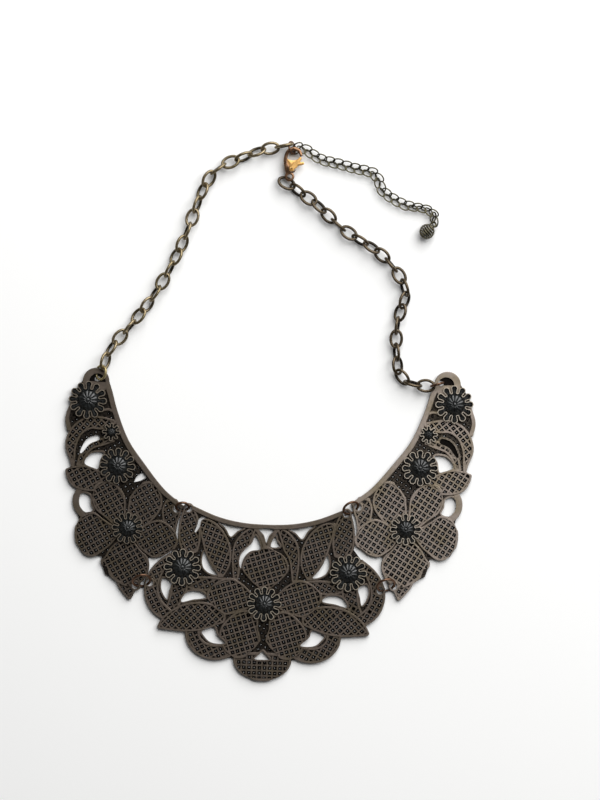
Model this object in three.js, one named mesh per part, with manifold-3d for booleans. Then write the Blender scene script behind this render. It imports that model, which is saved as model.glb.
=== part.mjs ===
// Bib necklace in antique-finished cast metal, lying flat and done up.
// Three openwork plates of petals, leaves and scrolls, joined by jump rings, carry eleven
// rosettes whose cups hold black fluted inserts. A cable chain on each side runs up to a
// lobster clasp and the end ring of a fine extender chain.
// Millimetres, +Z up. The back of the plates and the lowest chain links lie on Z = 0.
import * as THREE from 'three';
import * as BufferGeometryUtils from 'three/addons/utils/BufferGeometryUtils.js';
import Module from 'manifold-3d';

const wasm = await Module();
wasm.setup();
const DEG = Math.PI / 180;

// ---------------------------------------------------------------- driving dimensions
const PLATE_T = 1.9;          // thickness of the cast plates
const CUP_TOP = 3.3;          // height of the rosette cups' wavy rims
const CUP_WALL = 1.15;        // thickness of a large cup's wall
const CUP_FLOOR = 1.0;        // height of the seat under an insert
const FIT_GAP = 0.3;          // clearance kept between separate pieces
const GROUND_T = 1.1;         // thickness of the thin ground between petals
const EYE_R = 1.45;           // radius of a ring hole
const LUG_R = 2.15;           // radius of the metal round a ring hole
const LUG_Z = 1.35;           // underside of a lug, thinned so that a ring passes under it
const RELIEF_R = 3.3;         // radius of the thinned patch
const LINK = { length: 8, width: 5.6, wire: 1.05 };   // main cable chain, outer sizes
const LINK_Z = 2.86;          // height of the chain's axis above the surface
const LINKS_PER_SIDE = 22;
const SINGLE_LINKS = 15;      // links from each plate on that are separate pieces
const FINE_LINK = { length: 5.6, width: 3.9, wire: 0.75 };
const FINE_LINKS = 18;        // links of the extender chain
const FINE_SPLIT = 9;         // links in its upper run; the rest are in the lower run
const FINE_LEAN = 42;         // degrees each fine link leans to either side
const RING_WIRE = 0.9;
const JOINT_RING_SAG = 1.42;  // how far a jump ring dips past the lugs it joins
const JOINT_RING_LEAN = 40;   // degrees a joint ring leans from upright

const COLOURS = {
  plate: 0x5a5048, insert: 0x1c1e1d, chain: 0x4a4034, ring: 0x5c3a2a, clasp: 0xb07a45,
  extender: 0x3c382c,
};

// ---------------------------------------------------------------- solids
function toSolid(geometry) {
  const bare = geometry.index ? geometry.toNonIndexed() : geometry.clone();
  bare.deleteAttribute('normal');
  bare.deleteAttribute('uv');
  const merged = BufferGeometryUtils.mergeVertices(bare, 1e-4);
  return new wasm.Manifold(new wasm.Mesh({
    numProp: 3,
    vertProperties: new Float32Array(merged.attributes.position.array),
    triVerts: new Uint32Array(merged.index.array),
  }));
}

function toGeometry(solid) {
  const mesh = solid.getMesh();
  const geometry = new THREE.BufferGeometry();
  geometry.setAttribute('position', new THREE.BufferAttribute(mesh.vertProperties, 3));
  geometry.setIndex(new THREE.BufferAttribute(mesh.triVerts, 1));
  geometry.computeVertexNormals();
  return geometry;
}

function join(solids) {
  return solids.reduce((all, solid) => all.add(solid)).asOriginal().simplify(0.02);
}

function slab(points, bottom, top) {
  const geometry = new THREE.ExtrudeGeometry(new THREE.Shape(points), {
    depth: top - bottom, bevelEnabled: false, steps: 1,
  });
  geometry.translate(0, 0, bottom);
  return toSolid(geometry);
}

function disc(x, y, radius, bottom, top, sides = 20) {
  const points = [];
  for (let i = 0; i < sides; i++) {
    const a = (i / sides) * 2 * Math.PI;
    points.push(new THREE.Vector2(x + radius * Math.cos(a), y + radius * Math.sin(a)));
  }
  return slab(points, bottom, top);
}

// A flat band whose centreline and full width run smoothly through its rows.
function bandOutline(rows, stepsPerRow = 2) {
  const curve = new THREE.CatmullRomCurve3(
    rows.map((row) => new THREE.Vector3(row.x, row.y, row.w)), false, 'centripetal');
  const steps = (rows.length - 1) * stepsPerRow;
  const left = [];
  const right = [];
  for (let i = 0; i <= steps; i++) {
    const t = i / steps;
    const p = curve.getPoint(t);
    const d = curve.getTangent(t);
    const n = new THREE.Vector2(-d.y, d.x).normalize().multiplyScalar(Math.max(p.z, 0.3) / 2);
    left.push(new THREE.Vector2(p.x + n.x, p.y + n.y));
    right.unshift(new THREE.Vector2(p.x - n.x, p.y - n.y));
  }
  return [...left, ...right];
}

function band(rows, bottom, top, stepsPerRow) {
  return slab(bandOutline(rows, stepsPerRow), bottom, top);
}

// A flat shape whose edge runs straight from row to row.
function patch(rows, bottom, top) {
  return slab(rows.map((row) => new THREE.Vector2(row.x, row.y)), bottom, top);
}

function mirrored(rows) {
  return rows.map((row) => ({ ...row, x: -row.x }));
}

// ---------------------------------------------------------------- rosettes
// A cup with a wavy rim, cast on the plate; its black insert sits in it.
function rosetteCup({ x, y, r }) {
  const lobes = r > 5 ? 12 : 8;
  const wave = r > 5 ? 0.35 : 0.2;
  const points = [];
  for (let i = 0; i < lobes * 2; i++) {
    const a = (i / (lobes * 2)) * 2 * Math.PI;
    const radius = r - wave + (i % 2 ? -wave : wave);
    points.push(new THREE.Vector2(x + radius * Math.cos(a), y + radius * Math.sin(a)));
  }
  return slab(points, 0, CUP_TOP);
}

function pocketRadius(r) {
  return r - (r > 5 ? CUP_WALL : 0.75 * CUP_WALL);
}

function rosettePocket({ x, y, r }) {
  return disc(x, y, pocketRadius(r), CUP_FLOOR, CUP_TOP + 1, r > 5 ? 20 : 16);
}

function rosetteInsert({ r }) {
  const R = pocketRadius(r) - FIT_GAP;
  const base = CUP_FLOOR + FIT_GAP;
  const profile = [
    [0, base], [R, base], [R, CUP_TOP - 0.5], [0.6 * R, CUP_TOP - 0.8],
    [0.5 * R, CUP_TOP], [0.2 * R, CUP_TOP + 0.5], [0, CUP_TOP + 0.6],
  ].map(([px, pz]) => new THREE.Vector2(px, pz));
  const geometry = new THREE.LatheGeometry(profile, 12);
  geometry.rotateX(Math.PI / 2);
  return toSolid(geometry);
}

// ---------------------------------------------------------------- side plate
// Drawn as the right plate lies; the left one is its mirror image, turned a little.
const SIDE_ROSETTES = [
  { name: 'tip', x: 73.3, y: 3.4, r: 7.7 },
  { name: 'small', x: 63, y: -8.7, r: 3.7 },
  { name: 'middle', x: 59.6, y: -22, r: 7.3 },
  { name: 'flower', x: 53.8, y: -46.5, r: 6.4 },
];
const SIDE_BANDS = {
  neckRail: [
    { x: 67, y: 12.5, w: 2.4 }, { x: 64.6, y: 6.5, w: 2.2 }, { x: 62.5, y: 0.3, w: 2.1 },
    { x: 56.9, y: -12, w: 2.2 }, { x: 49.8, y: -21.1, w: 2.2 }, { x: 40.7, y: -31, w: 2 },
    { x: 32.6, y: -36.8, w: 1.8 },
  ],
  neckBar: [{ x: 62.3, y: -0.6, w: 1.1 }, { x: 65, y: 0.2, w: 1.1 }, { x: 68, y: -0.6, w: 1.3 }],
  outerBow: [{ x: 79.4, y: 2, w: 1.5 }, { x: 81, y: -4, w: 1.6 }, { x: 79.9, y: -9, w: 1.8 }],
  upperCrescent: [
    { x: 61.5, y: -4.6, w: 1.6 }, { x: 66.5, y: -5.4, w: 5.2 }, { x: 72, y: -5.6, w: 5.4 },
    { x: 76.6, y: -8.9, w: 5.2 }, { x: 78.7, y: -14.5, w: 4.8 }, { x: 77.8, y: -20.5, w: 2.4 },
    { x: 77.4, y: -23.5, w: 1.4 },
  ],
  lowerCrescent: [
    { x: 61.8, y: -11.5, w: 2.4 }, { x: 66.5, y: -12.9, w: 3.4 }, { x: 70.6, y: -14.5, w: 3.4 },
    { x: 73.4, y: -17.9, w: 3.2 }, { x: 75, y: -23, w: 2.6 },
  ],
  shoulderLeaf: [
    { x: 63.5, y: -28.6, w: 5 }, { x: 69, y: -28.3, w: 9.4 }, { x: 74.5, y: -27.3, w: 9.8 },
    { x: 78.4, y: -25.7, w: 5 }, { x: 80, y: -24.9, w: 1 },
  ],
  sideLoop: [
    { x: 73.3, y: -31, w: 2.3 }, { x: 75.2, y: -35, w: 2.3 }, { x: 75.3, y: -38, w: 2.3 },
    { x: 74, y: -40.8, w: 2.3 }, { x: 71.3, y: -43.4, w: 2.3 },
  ],
  petalUpLeft: [
    { x: 51.2, y: -45, w: 7 }, { x: 49.2, y: -40.5, w: 11.2 }, { x: 47.3, y: -35.4, w: 13.6 },
    { x: 47, y: -31, w: 10.2 }, { x: 47.3, y: -28.1, w: 4.6 },
  ],
  petalUpRight: [
    { x: 57, y: -45, w: 5 }, { x: 59, y: -41, w: 9 }, { x: 61.6, y: -36.6, w: 13 },
    { x: 64.5, y: -32.8, w: 11.4 }, { x: 66.9, y: -30.2, w: 4.6 },
  ],
  petalRight: [
    { x: 58.5, y: -48.5, w: 5 }, { x: 63, y: -49.5, w: 12.4 }, { x: 67.5, y: -50, w: 18 },
    { x: 71, y: -50.2, w: 16 }, { x: 73.9, y: -50.5, w: 8 },
  ],
  petalDown: [
    { x: 53.8, y: -51.5, w: 6 }, { x: 54, y: -56, w: 14 }, { x: 53.8, y: -60.5, w: 19.6 },
    { x: 54.2, y: -64.5, w: 16 }, { x: 55.6, y: -67.4, w: 6 },
  ],
  petalLeft: [
    { x: 50, y: -48.8, w: 5 }, { x: 46.5, y: -49.5, w: 11.4 }, { x: 42, y: -50, w: 15.4 },
    { x: 37.5, y: -50.7, w: 12 }, { x: 34.3, y: -51.6, w: 4.6 },
  ],
  neckCorner: [
    { x: 37.2, y: -34.3, w: 5 }, { x: 36.8, y: -38, w: 8 }, { x: 37, y: -42, w: 6.6 },
    { x: 36.6, y: -46, w: 4.6 }, { x: 36, y: -50.5, w: 3 },
  ],
  tailLeaf: [
    { x: 52.8, y: -63.5, w: 10 }, { x: 52.2, y: -68, w: 9 }, { x: 51.6, y: -71.5, w: 5.6 },
    { x: 51, y: -74.6, w: 1.4 },
  ],
};
// Thin ground behind the petals, and the openings that go right through it.
const SIDE_GROUND = [
  { x: 66.2, y: 11.5 }, { x: 63.9, y: 6.5 }, { x: 61.7, y: 0.3 }, { x: 56.1, y: -12 },
  { x: 49.2, y: -21.3 }, { x: 40.2, y: -31.2 }, { x: 33.2, y: -36.6 }, { x: 34, y: -42 },
  { x: 34.8, y: -46 }, { x: 35, y: -52 }, { x: 38.5, y: -55.5 }, { x: 44.6, y: -57.5 },
  { x: 44.6, y: -61 }, { x: 46.5, y: -65.5 }, { x: 48.2, y: -69.5 }, { x: 50.5, y: -74 },
  { x: 53.6, y: -71.5 }, { x: 56, y: -68 }, { x: 61.5, y: -65.5 }, { x: 63.2, y: -61 },
  { x: 63.3, y: -58.4 }, { x: 67, y: -58.6 }, { x: 71.5, y: -57.5 }, { x: 73.8, y: -54 },
  { x: 74.4, y: -50.5 }, { x: 73.3, y: -45 }, { x: 74.5, y: -41 }, { x: 75.8, y: -38 },
  { x: 75.5, y: -35 }, { x: 73.8, y: -31.5 }, { x: 78, y: -27.5 }, { x: 79.3, y: -25 },
  { x: 77.5, y: -22.5 }, { x: 78.5, y: -20 }, { x: 80.5, y: -14.5 }, { x: 79.5, y: -9.5 },
  { x: 80.6, y: -4 }, { x: 79, y: 2 }, { x: 79.5, y: 5 }, { x: 77, y: 9.5 },
  { x: 74.5, y: 13.3 }, { x: 71, y: 15.4 }, { x: 67.5, y: 14.4 },
];
const SIDE_OPENINGS = {
  belowCrescents: [
    { x: 65.4, y: -17.2 }, { x: 69.6, y: -17.4 }, { x: 71.2, y: -18.5 }, { x: 72.6, y: -20.3 },
    { x: 72.8, y: -22 }, { x: 69.2, y: -23.5 }, { x: 67.4, y: -23.7 }, { x: 66.7, y: -20 },
  ],
  insideLoop: [
    { x: 72.5, y: -33.7 }, { x: 73.8, y: -35 }, { x: 73.8, y: -38.3 }, { x: 72.9, y: -40 },
    { x: 71, y: -41.4 }, { x: 68.1, y: -40.3 }, { x: 69.2, y: -37.8 }, { x: 69.6, y: -34.9 },
    { x: 70.8, y: -34 },
  ],
};
const LEFT_OPENINGS = {
  betweenCrescents: [
    { x: 69.3, y: -10.4 }, { x: 68.2, y: -10.3 }, { x: 67.4, y: -11.8 }, { x: 71.2, y: -14 },
    { x: 74.3, y: -17.9 }, { x: 75, y: -17.9 }, { x: 73.5, y: -13.4 }, { x: 71.8, y: -11.5 },
  ],
  abovePetal: [
    { x: 49.4, y: -24 }, { x: 48.2, y: -24.8 }, { x: 47.8, y: -25.8 }, { x: 52.2, y: -27.8 },
    { x: 52, y: -26.2 },
  ],
};
const SIDE_TIP = { x: 70.6, y: 11.2, r: 5.3 };
const TIP_HOLE = { x: 70, y: 11, r: 3.3 };
const SIDE_EYES = [{ x: 34.8, y: -37.5 }, { x: 49.1, y: -69.2 }];
const SIDE_MIDDLE = { x: 62.4, y: -18.4 };
const LEFT_PLACE = { x: -63.85, y: -17.3, turn: -4.1 };

function tipHole() {
  const points = [];
  const sides = 10;
  for (let i = 0; i <= sides; i++) {
    const a = (i / sides) * Math.PI;
    points.push(new THREE.Vector2(
      TIP_HOLE.x + TIP_HOLE.r * Math.cos(a), TIP_HOLE.y + TIP_HOLE.r * Math.sin(a)));
  }
  return slab(points, -1, PLATE_T + 1);
}

function openworkGround(outline, openings) {
  const holes = openings.map((rows) => patch(rows, -1, PLATE_T + 1));
  return patch(outline, 0, GROUND_T).subtract(join(holes));
}

function sidePlateSolid() {
  const metal = Object.values(SIDE_BANDS).map((rows) => band(rows, 0, PLATE_T));
  metal.push(openworkGround(SIDE_GROUND, Object.values(SIDE_OPENINGS)));
  metal.push(disc(SIDE_TIP.x, SIDE_TIP.y, SIDE_TIP.r, 0, PLATE_T, 16));
  metal.push(...SIDE_EYES.map((eye) => disc(eye.x, eye.y, LUG_R, 0, PLATE_T, 14)));
  metal.push(...SIDE_ROSETTES.map(rosetteCup));
  const reliefs = [...SIDE_EYES, { x: TIP_HOLE.x - 3.6, y: TIP_HOLE.y + 0.6 },
    { x: TIP_HOLE.x - 1.2, y: TIP_HOLE.y + 4.4 }, { x: TIP_HOLE.x + 1.5, y: TIP_HOLE.y + 4.4 }];
  const cuts = [tipHole(), ...SIDE_ROSETTES.map(rosettePocket)];
  cuts.push(...SIDE_EYES.map((eye) => disc(eye.x, eye.y, EYE_R, -1, PLATE_T + 1, 12)));
  cuts.push(...reliefs.map((spot) => disc(spot.x, spot.y, RELIEF_R, -1, LUG_Z, 14)));
  return join(metal).subtract(join(cuts)).asOriginal().simplify(0.02);
}

// ---------------------------------------------------------------- centre plate
// Drawn in its own frame, mirror-symmetric about x = 0, origin on the neck rail's middle.
const CENTRE_PLACE = { x: -1.6, y: -45, turn: -2.03 };
const CENTRE_ROSETTES = [
  { name: 'flower', x: 0, y: -31.3, r: 7 },
  { name: 'right', x: 33.2, y: -17.8, r: 7.5 },
  { name: 'left', x: -33.2, y: -17.8, r: 7.5 },
];
const CENTRE_MIDDLE_BANDS = {
  neckRail: [
    { x: -32, y: 6.9, w: 1.8 }, { x: -20, y: 2, w: 1.9 }, { x: -10, y: -0.1, w: 1.9 },
    { x: 0, y: -0.6, w: 1.9 }, { x: 10, y: -0.1, w: 1.9 }, { x: 20, y: 2, w: 1.9 },
    { x: 32, y: 6.9, w: 1.8 },
  ],
  petalUp: [
    { x: 0, y: -25, w: 5 }, { x: 0, y: -21.5, w: 13 }, { x: 0, y: -17, w: 19 },
    { x: 0, y: -12.5, w: 15.5 }, { x: 0, y: -9.3, w: 5 },
  ],
  bottomFan: [
    { x: 0, y: -51.4, w: 23 }, { x: 0, y: -54.5, w: 23.6 }, { x: 0, y: -58, w: 19.6 },
    { x: 0, y: -60.8, w: 12.4 }, { x: 0, y: -62.5, w: 4 },
  ],
};
// Right half of the thin ground's edge, from the neck rail down to the fan.
const CENTRE_GROUND = [
  { x: 10, y: -0.3 }, { x: 20, y: 1.8 }, { x: 31.5, y: 6.3 }, { x: 34.3, y: 2 },
  { x: 34.9, y: -4 }, { x: 34.6, y: -8 }, { x: 39, y: -13.5 }, { x: 43.3, y: -17 },
  { x: 46.9, y: -22.8 }, { x: 47.4, y: -28 }, { x: 45.2, y: -33.6 }, { x: 41.3, y: -37.5 },
  { x: 40.6, y: -41.3 }, { x: 36.5, y: -42.5 }, { x: 30.5, y: -43.4 }, { x: 29.6, y: -47.3 },
  { x: 26, y: -51.3 }, { x: 20.2, y: -53.4 }, { x: 15, y: -52.9 }, { x: 11.2, y: -53.5 },
  { x: 10.9, y: -55 }, { x: 9, y: -58 }, { x: 5.5, y: -60.6 },
];
const CENTRE_OPENINGS = {
  underRail: [
    { x: 3.1, y: -1.5 }, { x: 1.1, y: -3.9 }, { x: 0, y: -6.8 }, { x: -1.1, y: -3.9 },
    { x: -3.1, y: -1.5 },
  ],
  underLeftStem: [
    { x: -4.5, y: -4.1 }, { x: -2.8, y: -6.7 }, { x: -2.3, y: -9.5 }, { x: -5.7, y: -10.3 },
    { x: -7.6, y: -11.6 }, { x: -9.2, y: -14.3 }, { x: -9.9, y: -17.4 }, { x: -10.5, y: -15.8 },
    { x: -10.2, y: -12.5 }, { x: -8.8, y: -10.2 }, { x: -5.8, y: -7.2 },
  ],
  underRightStem: [
    { x: 3.6, y: -4.2 }, { x: 4.2, y: -5.9 }, { x: 5.6, y: -8.1 }, { x: 1.9, y: -8.4 },
    { x: 2.6, y: -5.4 },
  ],
  aboveFan: [{ x: -2.9, y: -53.2 }, { x: 0, y: -50.6 }, { x: 2.8, y: -53 }, { x: 0, y: -53.8 }],
};
const CENTRE_SIDE_OPENINGS = {
  betweenLeaves: [
    { x: 19, y: 0.6 }, { x: 16.5, y: -1.6 }, { x: 14.3, y: -4.9 }, { x: 11.6, y: -2.6 },
    { x: 9, y: -1.1 }, { x: 13, y: -0.8 },
  ],
  besideRosette: [
    { x: 24.6, y: -11 }, { x: 25.5, y: -15 }, { x: 24.6, y: -18 }, { x: 22.3, y: -19.8 },
    { x: 19, y: -20.4 }, { x: 21.3, y: -17.4 }, { x: 23, y: -14.6 },
  ],
  insideScroll: [
    { x: 40.8, y: -22.4 }, { x: 41.5, y: -25.5 }, { x: 40.8, y: -28.3 }, { x: 39, y: -30.7 },
    { x: 38.2, y: -27.5 }, { x: 37.4, y: -23.8 },
  ],
  aboveLongLeaf: [
    { x: 24, y: -28 }, { x: 26.5, y: -27.1 }, { x: 30.2, y: -27.4 }, { x: 32.4, y: -29.2 },
    { x: 33.2, y: -31.6 }, { x: 28.5, y: -30.6 }, { x: 23.2, y: -29.5 },
  ],
  underLongLeaf: [
    { x: 19.6, y: -41.3 }, { x: 24.6, y: -43.3 }, { x: 23.6, y: -45 }, { x: 21.3, y: -47.2 },
    { x: 18.5, y: -47.9 }, { x: 15, y: -47.5 }, { x: 18.4, y: -44.2 },
  ],
};
const CENTRE_SIDE_BANDS = {
  stem: [{ x: 4.8, y: -0.9, w: 1.4 }, { x: 2.3, y: -4.6, w: 1.4 }, { x: 0, y: -9.8, w: 1.6 }],
  innerLeaf: [
    { x: 11.8, y: -22, w: 2.4 }, { x: 11.4, y: -13, w: 4.6 }, { x: 9.8, y: -8.4, w: 6.4 },
    { x: 7.8, y: -4.6, w: 5 }, { x: 4.8, y: -1, w: 2 },
  ],
  tallLeaf: [
    { x: 17.8, y: -21, w: 2.6 }, { x: 17.8, y: -15.5, w: 8 }, { x: 19.2, y: -10.5, w: 10.6 },
    { x: 21.5, y: -5, w: 9.6 }, { x: 24.3, y: -1, w: 6.6 }, { x: 27.2, y: 1.4, w: 1.6 },
  ],
  cornerLeaf: [
    { x: 30.3, y: -11.5, w: 6.4 }, { x: 30.7, y: -7, w: 9 }, { x: 30.9, y: -2, w: 8.8 },
    { x: 31.2, y: 3, w: 6.6 }, { x: 31.6, y: 6.4, w: 3.6 },
  ],
  wing: [
    { x: 34, y: -22.6, w: 4 }, { x: 28, y: -24, w: 5.6 }, { x: 22, y: -24, w: 5.8 },
    { x: 15, y: -23.5, w: 4 },
  ],
  shortScroll: [
    { x: 33.8, y: -23, w: 7 }, { x: 34.5, y: -28, w: 6.6 }, { x: 35.9, y: -31.8, w: 5.2 },
    { x: 37.5, y: -35.5, w: 5 },
  ],
  upperScroll: [
    { x: 37.6, y: -13.4, w: 3 }, { x: 42.2, y: -18.2, w: 4.8 }, { x: 44.9, y: -23.4, w: 5.8 },
    { x: 45.2, y: -28, w: 6 }, { x: 43.4, y: -32.8, w: 6 }, { x: 39.6, y: -36.3, w: 5.4 },
    { x: 35.5, y: -38.2, w: 4 },
  ],
  longLeaf: [
    { x: 16, y: -36.5, w: 6 }, { x: 24, y: -36.9, w: 11.2 }, { x: 31, y: -37.9, w: 11.4 },
    { x: 37, y: -39.6, w: 7.8 }, { x: 40.5, y: -41.2, w: 3.8 }, { x: 42, y: -42, w: 1.4 },
  ],
  lowerScroll: [
    { x: 28.4, y: -42, w: 6.2 }, { x: 27.6, y: -46.6, w: 5.9 }, { x: 24.5, y: -49.9, w: 6 },
    { x: 20, y: -51.3, w: 6.2 }, { x: 15.5, y: -50.8, w: 6 }, { x: 11.6, y: -49.3, w: 5 },
  ],
  petalSide: [
    { x: 5.5, y: -30.4, w: 6 }, { x: 10, y: -29.5, w: 12 }, { x: 14.5, y: -28.8, w: 15 },
    { x: 19, y: -28.4, w: 11.4 }, { x: 22.3, y: -28.2, w: 4.6 },
  ],
  petalDown: [
    { x: 4.8, y: -36, w: 7 }, { x: 7.6, y: -40, w: 13.6 }, { x: 9.2, y: -44.5, w: 17 },
    { x: 9.4, y: -49, w: 13.2 }, { x: 9, y: -52.6, w: 5.4 },
  ],
};
const CENTRE_EYES = [{ x: 31.6, y: 5.8 }, { x: 46.1, y: -24.4 }];
const CORNER_SLOT = [
  { x: -24.3, y: 2.6, w: 0.8 }, { x: -26.6, y: 1.6, w: 1.1 }, { x: -27.3, y: -1, w: 1.2 },
  { x: -28.6, y: -3.6, w: 0.6 },
];

function centrePlateSolid() {
  const metal = Object.values(CENTRE_MIDDLE_BANDS).map((rows) => band(rows, 0, PLATE_T));
  for (const rows of Object.values(CENTRE_SIDE_BANDS)) {
    metal.push(band(rows, 0, PLATE_T), band(mirrored(rows), 0, PLATE_T));
  }
  const openings = [...Object.values(CENTRE_OPENINGS),
    ...Object.values(CENTRE_SIDE_OPENINGS).flatMap((rows) => [rows, mirrored(rows)])];
  const edge = [...CENTRE_GROUND, ...mirrored(CENTRE_GROUND).reverse()];
  metal.push(openworkGround(edge, openings));
  const eyes = [...CENTRE_EYES, ...mirrored(CENTRE_EYES)];
  metal.push(...eyes.map((eye) => disc(eye.x, eye.y, LUG_R, 0, PLATE_T, 14)));
  metal.push(...CENTRE_ROSETTES.map(rosetteCup));
  const cuts = [band(CORNER_SLOT, -1, PLATE_T + 1)];
  cuts.push(...CENTRE_ROSETTES.map(rosettePocket));
  cuts.push(...eyes.map((eye) => disc(eye.x, eye.y, EYE_R, -1, PLATE_T + 1, 12)));
  cuts.push(...eyes.map((eye) => disc(eye.x, eye.y, RELIEF_R, -1, LUG_Z, 14)));
  return join(metal).subtract(join(cuts)).asOriginal().simplify(0.02);
}

// ---------------------------------------------------------------- links and rings
class OvalCurve extends THREE.Curve {
  constructor(halfLength, halfWidth) {
    super();
    this.straight = halfLength - halfWidth;
    this.radius = halfWidth;
  }

  getPoint(t, target = new THREE.Vector3()) {
    const a = t * 2 * Math.PI;
    const x = this.radius * Math.cos(a) + this.straight * Math.sign(Math.cos(a) || 1) *
      Math.min(1, Math.abs(Math.cos(a)) * 2.2);
    return target.set(x, this.radius * Math.sin(a), 0);
  }
}

// A closed wire loop swept by hand-indexed rings of vertices: length along X, lying in XY.
function wireLoop(length, width, wire, steps, sides) {
  const curve = new OvalCurve((length - wire) / 2, (width - wire) / 2);
  const positions = [];
  const index = [];
  for (let i = 0; i < steps; i++) {
    const p = curve.getPoint(i / steps);
    const q = curve.getPoint((i + 0.02) / steps);
    const o = curve.getPoint((i - 0.02) / steps);
    const out = new THREE.Vector2(q.y - o.y, o.x - q.x).normalize();
    for (let j = 0; j < sides; j++) {
      const b = ((j + 0.5) / sides) * 2 * Math.PI;
      const reach = (wire / 2) * Math.cos(b);
      positions.push(p.x + out.x * reach, p.y + out.y * reach, (wire / 2) * Math.sin(b));
      const k = i * sides + j;
      const kUp = i * sides + ((j + 1) % sides);
      const kOn = ((i + 1) % steps) * sides + j;
      const kBoth = ((i + 1) % steps) * sides + ((j + 1) % sides);
      index.push(k, kOn, kBoth, k, kBoth, kUp);
    }
  }
  const geometry = new THREE.BufferGeometry();
  geometry.setAttribute('position', new THREE.Float32BufferAttribute(positions, 3));
  geometry.setIndex(index);
  return geometry;
}

// Turns a loop's own axes (length, width, thickness) to the given ones and moves it.
function placed(geometry, centre, along, roll) {
  const x = along.clone().normalize();
  const level = new THREE.Vector3(0, 0, 1).cross(x).normalize();
  const up = new THREE.Vector3().crossVectors(x, level);
  const y = level.clone().multiplyScalar(Math.cos(roll * DEG))
    .add(up.clone().multiplyScalar(Math.sin(roll * DEG)));
  const z = new THREE.Vector3().crossVectors(x, y);
  const matrix = new THREE.Matrix4().makeBasis(x, y, z).setPosition(centre);
  return geometry.clone().applyMatrix4(matrix);
}

function knotsAlong(rows, count) {
  const curve = new THREE.CatmullRomCurve3(
    rows.map((row) => new THREE.Vector3(row.x, row.y, row.z)), false, 'centripetal');
  curve.arcLengthDivisions = 600;
  return curve.getSpacedPoints(count);
}

// Links leaning in turn along a route: each is centred between two knots of the route.
function chainLinks(rows, size, count, rollOf) {
  const loop = wireLoop(size.length, size.width, size.wire, 10, size.wire > 1 ? 6 : 5);
  const knots = knotsAlong(rows, count);
  return knots.slice(1).map((knot, i) => {
    const along = knot.clone().sub(knots[i]);
    const centre = knot.clone().add(knots[i]).multiplyScalar(0.5);
    return toSolid(placed(loop, centre, along, rollOf(i + 1)));
  });
}

// Links joined along their thread, with a small bridge where each pair meets.
function joinedRun(links, knots, bridge) {
  const beads = knots.map((knot) => {
    const bead = new THREE.OctahedronGeometry(bridge, 0);
    bead.translate(knot.x, knot.y, knot.z);
    return toSolid(bead);
  });
  return join([...links, ...beads]);
}

function ring({ x, y, z, radius, wire, heading, lean }) {
  const size = 2 * radius + wire;
  const loop = wireLoop(size, size, wire, 14, 6);
  const along = new THREE.Vector3(Math.cos(heading * DEG), Math.sin(heading * DEG), 0);
  return toSolid(placed(loop, new THREE.Vector3(x, y, z), along, lean));
}

// A ring that passes through two eyes: its plane holds both and leans from upright.
function jointRing(a, b, lean, towards = 1) {
  const along = new THREE.Vector2(b.x - a.x, b.y - a.y);
  const half = along.length() / 2;
  const radius = (JOINT_RING_SAG ** 2 + half ** 2) / (2 * JOINT_RING_SAG);
  const rise = radius - JOINT_RING_SAG;
  const side = new THREE.Vector2(-along.y, along.x).normalize().multiplyScalar(towards);
  const shift = rise * Math.sin(lean * DEG);
  return ring({
    x: (a.x + b.x) / 2 + side.x * shift, y: (a.y + b.y) / 2 + side.y * shift,
    z: (LUG_Z + PLATE_T) / 2 + rise * Math.cos(lean * DEG),
    radius, wire: RING_WIRE,
    heading: Math.atan2(along.y, along.x) / DEG, lean: towards > 0 ? 90 - lean : 90 + lean,
  });
}

// ---------------------------------------------------------------- chain routes
const LEFT_ROUTE = [
  { x: -66.95, y: 18.16, z: 3.35 }, { x: -65.3, y: 23.4 }, { x: -62, y: 28.4 },
  { x: -56.3, y: 34.6 }, { x: -45.8, y: 48.4 }, { x: -37.1, y: 64 }, { x: -32.5, y: 75 },
  { x: -28, y: 87 }, { x: -22.5, y: 96.8 }, { x: -11.1, y: 102.2 }, { x: -3, y: 105.2 },
  { x: 2.6, y: 106.2, z: 3.15 }, { x: 7.9, y: 107.2, z: 4.5 },
];
const RIGHT_ROUTE = [
  { x: 64.5, y: 10.75 }, { x: 56, y: 11.6 }, { x: 51.5, y: 14.5 }, { x: 50.3, y: 22 },
  { x: 50, y: 31 }, { x: 51.4, y: 40 }, { x: 54.2, y: 47.5 }, { x: 51.3, y: 54.9 },
  { x: 44.1, y: 63.4 }, { x: 29.2, y: 73.2 }, { x: 16.5, y: 84.9 }, { x: 12.4, y: 87.6 },
  { x: 8.6, y: 89.6 }, { x: 7.5, y: 93.72 },
];
const RIGHT_END_RING = {
  x: 66.4, y: 11.45, z: 3.1, radius: 2.6, wire: RING_WIRE, heading: 16, lean: 90,
};
const LEFT_END_RING = { from: { x: -69.3, y: 13.9 }, to: { x: -68.5, y: 18.8 }, lean: 45 };
const CHAINS = [
  { name: 'left', route: LEFT_ROUTE, flatLink: 2.87, rollStep: 70.5 },
  { name: 'right', route: RIGHT_ROUTE, flatLink: 1, rollStep: 72.9 },
];

function addChain(group, { name, route, flatLink, rollStep }) {
  const rows = route.map((row) => ({ z: LINK_Z, ...row }));
  const roll = (k) => (k - flatLink) * rollStep;
  const links = chainLinks(rows, LINK, LINKS_PER_SIDE, roll);
  links.slice(0, SINGLE_LINKS).forEach((solid, i) => {
    addMesh(group, `${name}_link_${String(i + 1).padStart(2, '0')}`, solid, 'chain');
  });
  const knots = knotsAlong(rows, LINKS_PER_SIDE).slice(SINGLE_LINKS + 1, LINKS_PER_SIDE);
  const run = joinedRun(links.slice(SINGLE_LINKS), knots, 0.75);
  addMesh(group, `${name}_chain_run`, run, 'chain');
}

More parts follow.
